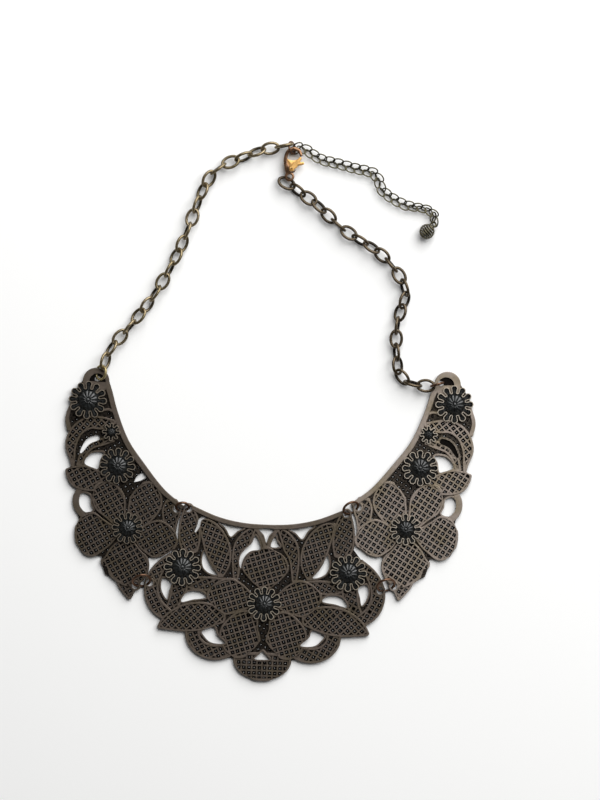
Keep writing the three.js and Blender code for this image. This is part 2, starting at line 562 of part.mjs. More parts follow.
// ---------------------------------------------------------------- clasp
const CLASP_Z = [1.95, 3.75];   // faces of the clasp, level with the chain's axis
const HOOK = [
  { x: 7.5, y: 95, w: 2.6 }, { x: 6.7, y: 97.4, w: 2.4 }, { x: 5.9, y: 99.8, w: 1.6 },
  { x: 5.9, y: 102, w: 1.4 }, { x: 6.7, y: 104.2, w: 1.4 }, { x: 8.9, y: 105.6, w: 1.4 },
  { x: 11.2, y: 104.7, w: 1.4 }, { x: 12.2, y: 102.7, w: 1.1 },
];
const CLASP_EYE = { x: 7.4, y: 94.4, r: 0.95, rim: 1.95 };
const PIVOT = { x: 8.3, y: 97.4, r: 1.05, rim: 2 };
const LEVER = [
  { x: 8.3, y: 97.4, w: 1.7 }, { x: 9.7, y: 99.1, w: 2.3 }, { x: 10.8, y: 100.4, w: 1.8 },
  { x: 11.5, y: 101.3, w: 1.1 },
];
const THUMB = [
  { x: 10, y: 99.2, w: 1.2 }, { x: 12.2, y: 99.6, w: 1.3 }, { x: 13, y: 99.8, w: 1.1 },
];
const LEVER_SWING = 15;         // degrees the lever is pressed inwards

function turnedAbout(solid, pivot, degrees) {
  return solid.translate([-pivot.x, -pivot.y, 0]).rotate([0, 0, degrees])
    .translate([pivot.x, pivot.y, 0]);
}

function leverSolid(margin = 0) {
  const [low, high] = [CLASP_Z[0] + 0.1 - 3 * margin, CLASP_Z[1] - 0.1 + 3 * margin];
  const wider = (rows) => rows.map((row) => ({ ...row, w: row.w + 2 * margin }));
  return join([
    band(wider(LEVER), low, high), band(wider(THUMB), low, high),
    disc(PIVOT.x, PIVOT.y, PIVOT.r + margin, low, high, 14),
  ]);
}

function claspBodySolid() {
  const [low, high] = CLASP_Z;
  const metal = join([
    band(HOOK, low, high, 3),
    disc(CLASP_EYE.x, CLASP_EYE.y, CLASP_EYE.rim, low, high, 14),
    disc(PIVOT.x, PIVOT.y, PIVOT.rim, low, high, 14),
  ]);
  const path = [0, 0.5, 1].map((part) =>
    turnedAbout(leverSolid(FIT_GAP), PIVOT, part * LEVER_SWING));
  const eye = disc(CLASP_EYE.x, CLASP_EYE.y, CLASP_EYE.r, low - 1, high + 1, 12);
  return metal.subtract(join([eye, ...path]));
}

const CLASP_RING = {
  centre: { x: 8.43, y: 105.97, z: 2.91 }, heading: 101, pitch: -1.3, roll: 61.7,
  radius: 2.45, wire: 0.8,
};

// ---------------------------------------------------------------- extender chain
const FINE_ROUTE = [
  { x: 8.66, y: 105.05, z: 0.78 }, { x: 12.2, y: 106.3, z: 2 }, { x: 15.6, y: 104.2, z: 1.7 },
  { x: 19.4, y: 101.5, z: 1.62 }, { x: 26.9, y: 99.6, z: 1.62 }, { x: 34.4, y: 97.5, z: 1.62 },
  { x: 41.2, y: 95.8, z: 1.62 }, { x: 43.2, y: 93, z: 1.62 }, { x: 44, y: 89.4, z: 1.62 },
  { x: 49.9, y: 84.9, z: 1.62 }, { x: 55, y: 82.6, z: 1.62 }, { x: 61.4, y: 81.7, z: 1.62 },
  { x: 65.2, y: 79.6, z: 1.62 }, { x: 65, y: 75.6, z: 2.1 },
];
const FINE_LEAN_FIRST = 22;
const DROP = {
  x: 62.3, y: 72.5, z: 3, r: 2.75, eye: 3.2, reach: 3.6, wire: 0.75, toLink: 48, roll: -40,
};

function endDropSolid() {
  const ball = new THREE.SphereGeometry(DROP.r, 14, 8);
  ball.translate(DROP.x, DROP.y, DROP.z);
  const a = DROP.toLink * DEG;
  const along = new THREE.Vector3(Math.cos(a), Math.sin(a), -0.2);
  const centre = new THREE.Vector3(DROP.x, DROP.y, DROP.z).addScaledVector(along, DROP.reach);
  const eye = placed(wireLoop(DROP.eye, DROP.eye, DROP.wire, 10, 6), centre, along, DROP.roll);
  return join([toSolid(ball), toSolid(eye)]);
}

function addExtender(group) {
  const lean = (k) => (k === 1 ? FINE_LEAN_FIRST : (k % 2 ? FINE_LEAN : -FINE_LEAN));
  const links = chainLinks(FINE_ROUTE, FINE_LINK, FINE_LINKS, lean);
  const knots = knotsAlong(FINE_ROUTE, FINE_LINKS);
  const bridge = 0.5;
  addMesh(group, 'extender_upper_run',
    joinedRun(links.slice(0, FINE_SPLIT), knots.slice(1, FINE_SPLIT), bridge), 'extender');
  addMesh(group, 'extender_lower_run',
    joinedRun(links.slice(FINE_SPLIT), knots.slice(FINE_SPLIT + 1, FINE_LINKS), bridge), 'extender');
  addMesh(group, 'extender_drop', endDropSolid(), 'extender');
}

// ---------------------------------------------------------------- assembly
function addMesh(group, name, solid, look) {
  const mesh = new THREE.Mesh(toGeometry(solid), new THREE.MeshStandardMaterial({
    color: COLOURS[look], roughness: look === 'insert' ? 0.25 : 0.38,
    metalness: look === 'insert' ? 0 : 0.9,
  }));
  mesh.name = name;
  group.add(mesh);
  return mesh;
}

function addInserts(group, rosettes, prefix) {
  for (const rosette of rosettes) {
    const mesh = addMesh(group, `${prefix}_${rosette.name}_insert`,
      rosetteInsert(rosette), 'insert');
    mesh.position.set(rosette.x, rosette.y, 0);
  }
}

function turnedGroup({ x, y, turn }) {
  const group = new THREE.Group();
  group.position.set(x, y, 0);
  group.rotation.z = turn * DEG;
  return group;
}

const necklace = new THREE.Group();
const about = (row) => ({ ...row, x: row.x - SIDE_MIDDLE.x, y: row.y - SIDE_MIDDLE.y });
const sideSolid = sidePlateSolid().translate([-SIDE_MIDDLE.x, -SIDE_MIDDLE.y, 0]);
const right = turnedGroup({ ...SIDE_MIDDLE, turn: 0 });
addMesh(right, 'right_plate', sideSolid, 'plate');
addInserts(right, SIDE_ROSETTES.map(about), 'right');
const left = turnedGroup(LEFT_PLACE);
const leftCuts = join(Object.values(LEFT_OPENINGS)
  .map((rows) => patch(rows.map(about), -1, PLATE_T + 1)));
addMesh(left, 'left_plate', sideSolid.subtract(leftCuts).scale([-1, 1, 1]), 'plate');
addInserts(left, mirrored(SIDE_ROSETTES.map(about)), 'left');
const centre = turnedGroup(CENTRE_PLACE);
addMesh(centre, 'centre_plate', centrePlateSolid(), 'plate');
addInserts(centre, CENTRE_ROSETTES, 'centre');
necklace.add(right, left, centre);
necklace.updateMatrixWorld(true);

function eyeAt(group, eye) {
  const p = new THREE.Vector3(eye.x, eye.y, 0).applyMatrix4(group.matrixWorld);
  return { x: p.x, y: p.y };
}
const [upperEye, tailEye] = SIDE_EYES.map(about);
const [cornerEye, scrollEye] = CENTRE_EYES;
const flip = (eye) => ({ x: -eye.x, y: eye.y });
const JOINTS = [
  { name: 'upper_right_ring', from: eyeAt(centre, cornerEye), to: eyeAt(right, upperEye) },
  { name: 'upper_left_ring', from: eyeAt(left, flip(upperEye)), to: eyeAt(centre, flip(cornerEye)) },
  { name: 'lower_right_ring', from: eyeAt(centre, scrollEye), to: eyeAt(right, tailEye) },
  { name: 'lower_left_ring', from: eyeAt(left, flip(tailEye)), to: eyeAt(centre, flip(scrollEye)) },
];
for (const { name, from, to } of JOINTS) {
  addMesh(necklace, name, jointRing(from, to, JOINT_RING_LEAN), 'ring');
}
for (const chain of CHAINS) addChain(necklace, chain);
addMesh(necklace, 'right_end_ring', ring(RIGHT_END_RING), 'ring');
addMesh(necklace, 'left_end_ring', jointRing(LEFT_END_RING.from, LEFT_END_RING.to,
  LEFT_END_RING.lean, -1), 'ring');

function claspRingSolid({ centre: c, heading, pitch, roll, radius, wire }) {
  const size = 2 * radius + wire;
  const along = new THREE.Vector3(Math.cos(heading * DEG) * Math.cos(pitch * DEG),
    Math.sin(heading * DEG) * Math.cos(pitch * DEG), Math.sin(pitch * DEG));
  return toSolid(placed(wireLoop(size, size, wire, 14, 6),
    new THREE.Vector3(c.x, c.y, c.z), along, roll));
}
addMesh(necklace, 'clasp_ring', claspRingSolid(CLASP_RING), 'ring');
addMesh(necklace, 'clasp_body', claspBodySolid(), 'clasp');
addMesh(necklace, 'clasp_lever', leverSolid(), 'clasp');
addExtender(necklace);

// The origin is under the middle of the necklace, on the surface it lies on.
const extent = new THREE.Box3().setFromObject(necklace, true);
const middle = extent.getCenter(new THREE.Vector3());
necklace.position.set(-middle.x, -middle.y, 0);

export default necklace;
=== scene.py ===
# Bib necklace in antique-finished cast metal, lying flat and done up on a pale surface.
# Lengths are in millimetres and turned to metres as each mesh is made.
import math

import bpy
import numpy as np
from mathutils import Matrix, Vector


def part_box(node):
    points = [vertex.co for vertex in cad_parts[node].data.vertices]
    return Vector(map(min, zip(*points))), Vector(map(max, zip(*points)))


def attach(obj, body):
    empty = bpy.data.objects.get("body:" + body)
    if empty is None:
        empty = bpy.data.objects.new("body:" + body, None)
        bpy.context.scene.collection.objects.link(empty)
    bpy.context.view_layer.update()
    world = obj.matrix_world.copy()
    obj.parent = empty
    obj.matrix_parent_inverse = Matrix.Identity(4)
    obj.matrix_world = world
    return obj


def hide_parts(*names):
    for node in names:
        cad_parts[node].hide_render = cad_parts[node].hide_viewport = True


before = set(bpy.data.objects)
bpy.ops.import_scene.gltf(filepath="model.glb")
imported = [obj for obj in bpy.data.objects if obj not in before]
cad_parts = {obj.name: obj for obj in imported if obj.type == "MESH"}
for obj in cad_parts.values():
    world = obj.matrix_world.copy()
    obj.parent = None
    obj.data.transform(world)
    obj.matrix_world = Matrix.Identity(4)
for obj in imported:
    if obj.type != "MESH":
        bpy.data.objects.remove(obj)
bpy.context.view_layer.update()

# ---------------------------------------------------------------- side plates
# Two cast openwork plates, one the mirror image of the other, each a spray of petals, leaves
# and crescents. Zinc alloy cast in one piece, plated and blackened, then rubbed bright on the
# raised rims, with painted shade low down and a painted highlight on top. Each petal is a rim
# round a sunk field of square pits open at the bottom.
MM = 0.001


def linear(hex_colour):
    parts = [int(hex_colour[i:i + 2], 16) / 255 for i in (1, 3, 5)]
    return (*(c / 12.92 if c <= 0.04045 else ((c + 0.055) / 1.055) ** 2.4 for c in parts), 1.0)


def add(tree, kind, settings=None, **links):
    """Adds a node. Each link names a socket, or numbers it as i0, i1, and gives it a value or
    another node's output."""
    made = tree.nodes.new(kind)
    for key, value in (settings or {}).items():
        setattr(made, key, value)
    for key, value in links.items():
        numbered = key[1:].isdigit()
        socket = made.inputs[int(key[1:]) if numbered else key.replace("_", " ")]
        if isinstance(value, bpy.types.NodeSocket):
            tree.links.new(value, socket)
        else:
            socket.default_value = value
    return made


PATCH_SIZE = 14         # patches of tint, in grains
HEIGHT_JITTER = 0.5     # mm by which the specks shift the edge between the dark low down (blackening and painted shade) and the bright top
CREST_HEIGHTS = (2.6, 2.9)      # mm where the painted highlight on the top edges starts and ends
GRAIN_DEPTH = 0.06      # mm


def antique_metal(name, bright, dark, tint, heights, roughness=0.42, grain=0.55, crest_highlight=None):
    """Antique plating coloured by height, with patches of another tint: dark low down, bright on
    top. The dark is partly the real blackening in the hollows and partly painted shade, the bright
    partly rubbed metal and partly a painted highlight. grain is the size in mm of its specks, and
    the patches are 14 times as large. heights are the levels in mm where the dark ends and the
    bright starts, and crest_highlight is the colour of a painted highlight on the very top edges."""
    material = bpy.data.materials.new(name)
    material.use_nodes = True
    tree = material.node_tree
    tree.nodes.clear()
    place = add(tree, "ShaderNodeTexCoord").outputs["Object"]
    z = add(tree, "ShaderNodeSeparateXYZ", Vector=place).outputs["Z"]
    patches = add(tree, "ShaderNodeTexNoise", Vector=place, Scale=1 / (grain * PATCH_SIZE * MM),
                  Detail=3.0)
    specks = add(tree, "ShaderNodeTexNoise", Vector=place, Scale=1 / (grain * MM), Detail=4.0)
    jitter = add(tree, "ShaderNodeMath", {"operation": "MULTIPLY_ADD"},
                 i0=specks.outputs["Fac"], i1=HEIGHT_JITTER * MM, i2=z)
    # Painted shade and highlight by height: lower faces darker, higher ones brighter, over the
    # real blackening in the hollows and the rubbed rims.
    lit_and_rubbed = add(tree, "ShaderNodeMapRange", {"interpolation_type": "SMOOTHSTEP"},
                 Value=jitter.outputs[0], From_Min=(heights[0] + HEIGHT_JITTER / 2) * MM,
                 From_Max=(heights[1] + HEIGHT_JITTER / 2) * MM)
    spread = add(tree, "ShaderNodeMapRange", Value=patches.outputs["Fac"],
                 From_Min=0.42, From_Max=0.68)
    share = add(tree, "ShaderNodeMath", {"operation": "MULTIPLY"}, i0=spread.outputs[0], i1=0.65)
    top = add(tree, "ShaderNodeMix", {"data_type": "RGBA"}, i0=share.outputs[0],
              i6=linear(bright), i7=linear(tint))
    colour = add(tree, "ShaderNodeMix", {"data_type": "RGBA"}, i0=lit_and_rubbed.outputs[0],
                 i6=linear(dark), i7=top.outputs[2])
    if crest_highlight:
        # Painted highlight on the very top edges.
        crest_highlight_share = add(tree, "ShaderNodeMapRange", Value=z, From_Min=CREST_HEIGHTS[0] * MM,
                   From_Max=CREST_HEIGHTS[1] * MM)
        colour = add(tree, "ShaderNodeMix", {"data_type": "RGBA"}, i0=crest_highlight_share.outputs[0],
                     i6=colour.outputs[2], i7=linear(crest_highlight))
    rough = add(tree, "ShaderNodeMapRange", Value=specks.outputs["Fac"], From_Min=0.3,
                From_Max=0.7, To_Min=roughness - 0.08, To_Max=roughness + 0.14)
    bump = add(tree, "ShaderNodeBump", Height=specks.outputs["Fac"], Strength=0.25,
               Distance=GRAIN_DEPTH * MM)
    shader = add(tree, "ShaderNodeBsdfPrincipled", Base_Color=colour.outputs[2], Metallic=0.85,
                 Roughness=rough.outputs[0], Normal=bump.outputs[0])
    add(tree, "ShaderNodeOutputMaterial", Surface=shader.outputs[0])
    return material


def spline(points, t):
    """Points of a smooth curve through the given ones, at t from 0 to 1."""
    p = np.asarray(points, float)
    p = np.vstack([2 * p[0] - p[1], p, 2 * p[-1] - p[-2]])
    u = np.clip(t, 0, 1) * (len(p) - 3)
    i = np.minimum(u.astype(int), len(p) - 4)
    w = (u - i)[:, None]
    a, b, c, d = p[i], p[i + 1], p[i + 2], p[i + 3]
    ta, tb, tc = (np.sqrt(np.linalg.norm(q - r, axis=1))[:, None]
                  for q, r in ((b, a), (c, b), (d, c)))
    m1 = ((b - a) / ta - (c - a) / (ta + tb) + (c - b) / tb) * tb
    m2 = ((c - b) / tb - (d - b) / (tb + tc) + (d - c) / tc) * tb
    return b + m1 * w + (3 * (c - b) - 2 * m1 - m2) * w ** 2 + (2 * (b - c) + m1 + m2) * w ** 3


END_BULGE = 0.2         # how far a band's rounded end reaches, as a share of its width there
MOST_BULGE = 0.9        # and at most, in mm


def band(rows, inset=0.0, per_row=6):
    """Outline of a flat band whose rows give x, y and full width; inset draws it in all round."""
    p = spline(rows, np.linspace(0, 1, (len(rows) - 1) * per_row + 1))
    along = np.gradient(p[:, :2], axis=0)
    along /= np.linalg.norm(along, axis=1)[:, None]
    run = np.r_[0, np.cumsum(np.linalg.norm(np.diff(p[:, :2], axis=0), axis=1))]
    half = np.maximum(p[:, 2] / 2, 0.15) - inset
    bulge = [min(END_BULGE * width, MOST_BULGE) for width in (p[0, 2], p[-1, 2])]
    keep = (run >= inset) & (run <= run[-1] - inset) & (half > 0.2 if inset else half > 0)
    p, along, half = p[keep, :2], along[keep], half[keep][:, None]
    side = np.c_[-along[:, 1], along[:, 0]]
    turns = np.radians([60, 30, 0, -30, -60])[:, None]
    end = p[-1] + side[-1] * half[-1] * np.sin(turns) + along[-1] * bulge[1] * np.cos(turns)
    start = p[0] - side[0] * half[0] * np.sin(turns) - along[0] * bulge[0] * np.cos(turns)
    ring = np.vstack([p + side * half, end, (p - side * half)[::-1], start])
    x, y = ring.T
    area = np.sum(x * np.roll(y, -1) - y * np.roll(x, -1))
    return ring if area > 0 else ring[::-1]


def shrunk(ring, by):
    """A counter-clockwise outline drawn in by a small distance."""
    edge = np.roll(ring, -1, axis=0) - ring
    edge /= np.maximum(np.linalg.norm(edge, axis=1), 1e-9)[:, None]
    inward = np.c_[-edge[:, 1], edge[:, 0]]
    both = inward + np.roll(inward, 1, axis=0)
    both /= np.maximum(np.linalg.norm(both, axis=1), 0.4)[:, None]
    return ring + both * by


def circle(x, y, radius, sides=40):
    a = np.linspace(0, 2 * math.pi, sides, endpoint=False)
    return np.c_[x + radius * np.cos(a), y + radius * np.sin(a)]


def mesh_object(name, vertices, faces):
    mesh = bpy.data.meshes.new(name)
    mesh.from_pydata((np.asarray(vertices, float) * MM).tolist(), [], faces)
    made = bpy.data.objects.new(name, mesh)
    bpy.context.scene.collection.objects.link(made)
    return made


def stack(name, layers):
    """A closed solid from matching outlines, each with its height, from the bottom up."""
    n = len(layers[0][0])
    vertices = np.vstack([np.c_[ring, np.full(n, z)] for ring, z in layers])
    faces = [list(range(n))[::-1], [(len(layers) - 1) * n + k for k in range(n)]]
    for level in range(len(layers) - 1):
        for k in range(n):
            a, b = level * n + k, level * n + (k + 1) % n
            faces.append([a, b, b + n, a + n])
    return mesh_object(name, vertices, faces)


CHAMFER = 0.22


def chamfered(name, ring, top):
    return stack(name, [(ring, 0), (ring, top - CHAMFER), (shrunk(ring, CHAMFER), top)])


def combine(body, tool, operation):
    change = body.modifiers.new("combine", "BOOLEAN")
    change.operation, change.solver, change.object = operation, "MANIFOLD", tool
    bpy.context.view_layer.update()
    graph = bpy.context.evaluated_depsgraph_get()
    done = bpy.data.meshes.new_from_object(body.evaluated_get(graph))
    body.modifiers.clear()
    body.data = done
    bpy.data.objects.remove(tool)
    return body


def closed_curve(points, per_row=5):
    """A smooth closed outline through the points, counter-clockwise."""
    n = len(points)
    p = [points[(k - 3) % n] for k in range(n + 6)]
    ring = spline(p, np.linspace(3, n + 3, n * per_row, endpoint=False) / (n + 5))
    x, y = ring.T
    return ring if np.sum(x * np.roll(y, -1) - y * np.roll(x, -1)) > 0 else ring[::-1]


PIT_PITCH = 2.07        # spacing of the square pits
# Height and half width of a pit at each level, from its opening at the back up.
PIT_LEVELS = [(-0.2, 0.12), (0.6, 0.43), (1.15, 0.64), (1.5, 0.76), (2.6, 0.92)]


def pits(ring, angle):
    """Tapered square pits in rows at the given angle, cut off at the field's own edge."""
    turn = np.array([[math.cos(angle), -math.sin(angle)], [math.sin(angle), math.cos(angle)]])
    own = ring @ turn
    low = np.floor(own.min(0) / PIT_PITCH).astype(int) - 1
    high = np.ceil(own.max(0) / PIT_PITCH).astype(int) + 1
    corner = np.array([[-1, -1], [1, -1], [1, 1], [-1, 1]])
    vertices, faces = [], []
    for i in range(low[0], high[0]):
        for j in range(low[1], high[1]):
            first = len(vertices)
            middle = (np.array([i, j]) + 0.5) * PIT_PITCH
            for z, half in PIT_LEVELS:
                flat = (middle + corner * half) @ turn.T
                vertices.extend([*point, z] for point in flat)
            last = first + 4 * (len(PIT_LEVELS) - 1)
            faces.append([first + k for k in (3, 2, 1, 0)])
            faces.append([last + k for k in range(4)])
            for level in range(len(PIT_LEVELS) - 1):
                for k in range(4):
                    a, b = first + 4 * level + k, first + 4 * level + (k + 1) % 4
                    faces.append([a, b, b + 4, a + 4])
    grid = mesh_object("pits", vertices, faces)
    return combine(grid, stack("edge", [(ring, -0.1), (ring, 2.5)]), "INTERSECT")


def lobe_count(r):
    return 12 if r > 5 else 8


def rosette_ring(x, y, r, inset=0.0):
    """Wavy closed line of a rosette's rim: narrow round lobes with round notches between."""
    lobes = lobe_count(r)
    step = math.pi / lobes
    outer, inner = (0.18 * r, 0.042 * r) if r > 5 else (0.21 * r, 0.08 * r)
    far, near = r - outer, 0.6 * r + inner
    points = []
    for lobe in range(lobes):
        a = 2 * step * lobe
        for bend in np.radians([-80, -40, 0, 40, 80]):
            points.append(far * np.array([math.cos(a), math.sin(a)])
                          + (outer - inset) * np.array([math.cos(a + bend), math.sin(a + bend)]))
        b = a + step
        for bend in np.radians([70, 35, 0, -35, -70]):
            points.append(near * np.array([math.cos(b), math.sin(b)])
                          - (inner + inset) * np.array([math.cos(b + bend), math.sin(b + bend)]))
    return np.array(points) + (x, y)


GROUND_TOP = 1.05       # height of the thin ground behind the petals
GROUND_MARGIN = 1.1     # plain margin round the ground's pits
RIM = 0.95              # plain margin round each field of pits
FIELD_DEPTH = 0.26      # how far a field is sunk below its rim
OPENING_RIM = 0.75      # plain margin round each opening
OPENING_TOP = 1.58      # height of that margin
CUP_TOP = 2.95          # top edge of a rosette's wavy wall
CUP_FLOOR = 1.25        # top of the cup's floor
WALL = 0.31             # thickness of the wall
LUG_TOP = 1.6           # height of the ring eyes


def cut_through(body, rings, bottom=-1):
    for ring in rings:
        combine(body, stack("cut", [(ring, bottom), (ring, 4)]), "DIFFERENCE")


def cast_plate(name, ground, ground_angle, openings, bands, discs, rosettes):
    """A ground with bands laid on it, the lowest first. Each band has rows of x, y and width,
    a top height and the angle of its pits, or None where it is plain. discs are x, y, radius
    and top height, and rosettes are x, y and radius."""
    body = stack("ground", [(ground, 0), (ground, GROUND_TOP)])
    combine(body, pits(shrunk(ground, GROUND_MARGIN), ground_angle), "DIFFERENCE")
    for rows, top, angle in bands:
        combine(body, chamfered("layer", band(rows), top), "UNION")
        field = band(rows, inset=RIM, per_row=8) if angle is not None else []
        if len(field) < 14:
            continue
        sink = [(field, top - FIELD_DEPTH), (shrunk(field, -0.2), top + 0.2)]
        combine(body, stack("sink", sink), "DIFFERENCE")
        combine(body, pits(field, angle), "DIFFERENCE")
    for opening in openings:
        combine(body, chamfered("rim", shrunk(opening, -OPENING_RIM), OPENING_TOP), "UNION")
    cut_through(body, openings)
    for x, y, r, top in discs:
        combine(body, chamfered("disc", circle(x, y, r), top), "UNION")
    for rosette in rosettes:
        wall, lip = rosette_ring(*rosette), rosette_ring(*rosette, 0.05)
        combine(body, stack("cup", [(wall, 0), (wall, CUP_TOP - 0.08), (lip, CUP_TOP)]), "UNION")
        inner, mouth = rosette_ring(*rosette, WALL), rosette_ring(*rosette, WALL - 0.05)
        pocket = [(inner, CUP_FLOOR), (inner, CUP_TOP - 0.05), (mouth, CUP_TOP + 0.1)]
        combine(body, stack("pocket", pocket), "DIFFERENCE")
    body.name = name
    return body


def lay(piece, x, y, turn, mirror):
    """Turns a finished mesh, drawn about its own origin in mm, and sets it in place."""
    where = Matrix.Translation((x * MM, y * MM, 0)) @ Matrix.Rotation(math.radians(turn), 4, "Z")
    if mirror:
        where = where @ Matrix.Scale(-1, 4, (1, 0, 0))
    piece.data.transform(where)
    if mirror:
        piece.data.flip_normals()
    return piece


def finish_piece(piece, material, body, slot, *nodes, angle=32):
    piece.data.materials.clear()
    piece.data.materials.append(material)
    piece.data.shade_smooth()
    piece.data.set_sharp_from_angle(angle=math.radians(angle))
    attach(piece, body)
    if nodes:
        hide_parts(*nodes)
    return piece


# The right flower's rosette ties this drawing to the frame.
insert_low, insert_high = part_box("right_flower_insert")
SHIFT = np.array([(insert_low.x + insert_high.x) / 2 / MM - 53.8,
                  (insert_low.y + insert_high.y) / 2 / MM + 46.5])
SIDE_ANGLE = math.radians(-33)      # the rows of pits on most of the plate
SIDE_BANDS = {
    "low band by the neck": (
        [(66.3, 6.2, 3.4), (66.2, 1.8, 5.4), (67.6, -2, 4)],
        1.0, None),
    "low band by the outer bow": (
        [(74.6, -3.2, 2.4), (77.2, -2.4, 3.2), (79, 2, 2.4)],
        1.0, None),
    "inner leaf": (
        [(37.2, -34.3, 5), (36.8, -38, 8), (37, -42, 6.6), (36.6, -46, 4.6), (36, -50.5, 3)],
        1.6, SIDE_ANGLE),
    "tail leaf": (
        [(52.8, -63.5, 10), (52.2, -68, 9), (51.6, -71.5, 5.6), (51, -74.6, 1.4)],
        1.6, SIDE_ANGLE),
    "side loop": (
        [(73.3, -31, 2.3), (75.2, -35, 2.3), (75.3, -38, 2.3), (74, -40.8, 2.3),
         (71.3, -43.4, 2.3)],
        1.6, None),
    "lower crescent": (
        [(61.8, -11.5, 2.4), (66.5, -12.9, 3.4), (70.6, -14.5, 3.4), (73.4, -17.9, 3.2),
         (75, -23, 2.6)],
        1.7, SIDE_ANGLE),
    "upper crescent": (
        [(61.5, -4.6, 1.6), (66.5, -5.4, 5.2), (72, -5.6, 5.4), (76.6, -8.9, 5.2),
         (78.7, -14.5, 4.8), (77.8, -20.5, 2.4), (77.4, -23.5, 1.4)],
        1.85, math.radians(-51)),
    "shoulder leaf": (
        [(63.5, -28.6, 5), (69, -28.3, 9.4), (74.5, -27.3, 9.8), (78.4, -25.7, 5), (80, -24.9, 1)],
        1.8, SIDE_ANGLE),
    "inner upper petal": (
        [(51.2, -45, 7), (49.2, -40.5, 11.2), (47.3, -35.4, 13.6), (47, -31, 10.2),
         (47.3, -28.1, 4.6)],
        1.7, SIDE_ANGLE),
    "inner petal": (
        [(50, -48.8, 5), (46.5, -49.5, 11.4), (42, -50, 15.4), (37.5, -50.7, 12),
         (34.3, -51.6, 4.6)],
        1.7, SIDE_ANGLE),
    "outer upper petal": (
        [(57, -45, 5), (59, -41, 9), (61.6, -36.6, 13), (64.5, -32.8, 11.4), (66.9, -30.2, 4.6)],
        1.8, SIDE_ANGLE),
    "outer petal": (
        [(58.5, -48.5, 5), (63, -49.5, 12.4), (67.5, -50, 18), (71, -50.2, 16), (73.9, -50.5, 8)],
        1.75, SIDE_ANGLE),
    "lower petal": (
        [(53.8, -51.5, 6), (54, -56, 14), (53.8, -60.5, 19.6), (54.6, -64.5, 17.6),
         (56.2, -67.5, 9)],
        1.85, SIDE_ANGLE),
    "outer bow": (
        [(79.4, 2, 1.5), (81, -4, 1.6), (79.9, -9, 1.8)],
        1.8, None),
    "neck bar": (
        [(62.3, -0.6, 1.1), (65, 0.2, 1.1), (68, -0.6, 1.3)],
        1.8, None),
    "neck rail": (
        [(67, 12.5, 2.4), (64.6, 6.5, 2.2), (62.5, 0.3, 2.1), (56.9, -12, 2.2),
         (49.8, -21.1, 2.2), (40.7, -31, 2), (32.6, -36.8, 1.8)],
        1.9, None),
}
SIDE_ROSETTES = {"tip": (73.3, 3.4, 7.7), "small": (63, -8.7, 3.7), "middle": (59.6, -22, 7.3),
                 "flower": (53.8, -46.5, 6.4)}
SIDE_MIDDLE = (62.4, -18.4)         # the point that the plate is turned about
LUG_R, LUG_EYE_R = 2.15, 1.45       # the ring eyes, outside and in
SIDE_LUGS = [(34.8, -37.5), (49.1, -69.2)]
SIDE_GROUND = [
    (66.2, 11.5), (63.9, 6.5), (61.7, 0.3), (56.1, -12), (49.2, -21.3), (40.2, -31.2),
    (33.2, -36.6), (34, -42), (34.8, -46), (35, -52), (38.5, -55.5), (44.6, -57.5), (44.6, -61),
    (46.5, -65.5), (48.2, -69.5), (50.5, -74), (53.6, -71.5), (56, -68), (61.5, -65.5),
    (63.2, -61), (63.3, -58.4), (67, -58.6), (71.5, -57.5), (73.8, -54), (74.4, -50.5),
    (73.3, -45), (74.5, -41), (75.8, -38), (75.5, -35), (73.8, -31.5), (78, -27.5), (79.3, -25),
    (77.5, -22.5), (78.5, -20), (80.5, -14.5), (79.5, -9.5), (80.6, -4), (79, 2), (79.5, 5),
    (77, 9.5), (74.5, 13.3), (71, 15.4), (67.5, 14.4),
]
BELOW_CRESCENTS = [(65.4, -17.2), (69.6, -17.4), (71.2, -18.5), (72.6, -20.3), (72.8, -22),
                   (69.2, -23.5), (67.4, -23.7), (66.7, -20)]
INSIDE_LOOP = [(72.5, -33.7), (73.8, -35), (73.8, -38.3), (72.9, -40), (71, -41.4),
               (68.1, -40.3), (69.2, -37.8), (69.6, -34.9), (70.8, -34)]
# The tip is a round disc with a half-round recess, whose floor is put back lower down.
TIP_DISC = (70.6, 11.2, 5.3, 1.9)
half_turn = np.linspace(0, math.pi, 16)
tip_hole = np.c_[70 + 3.3 * np.cos(half_turn), 11 + 3.3 * np.sin(half_turn)]

side_plate = cast_plate(
    "right_plate_casting", np.array(SIDE_GROUND), SIDE_ANGLE,
    [closed_curve(BELOW_CRESCENTS), closed_curve(INSIDE_LOOP)], SIDE_BANDS.values(),
    [TIP_DISC] + [(x, y, LUG_R, LUG_TOP) for x, y in SIDE_LUGS], SIDE_ROSETTES.values(),
)
cut_through(side_plate, [tip_hole] + [circle(x, y, LUG_EYE_R) for x, y in SIDE_LUGS])
tip_floor = shrunk(tip_hole, -0.1)
combine(side_plate, stack("tip floor", [(tip_floor, 0.1), (tip_floor, 0.8)]), "UNION")
side_plate.data.transform(Matrix.Translation((-SIDE_MIDDLE[0] * MM, -SIDE_MIDDLE[1] * MM, 0)))
left_plate = side_plate.copy()
left_plate.data = side_plate.data.copy()
left_plate.name = "left_plate_casting"
bpy.context.scene.collection.objects.link(left_plate)
# Each plate's place: x, y, turn in degrees, and whether it is mirrored.
RIGHT_PLACE = (SIDE_MIDDLE[0] + SHIFT[0], SIDE_MIDDLE[1] + SHIFT[1], 0, False)
LEFT_PLACE = (-63.85 + SHIFT[0], -17.3 + SHIFT[1], -4.1, True)
# The mirrored plate has two more openings, and each has its own ring hole at the tip.
BETWEEN_CRESCENTS = [(69.3, -10.4), (68.2, -10.3), (67.4, -11.8), (71.2, -14), (74.3, -17.9),
                     (75, -17.9), (73.5, -13.4), (71.8, -11.5)]
ABOVE_PETAL = [(49.4, -24), (48.2, -24.8), (47.8, -25.8), (52.2, -27.8), (52, -26.2)]
cut_through(side_plate, [circle(68.0, 11.9, 1.15) - SIDE_MIDDLE])
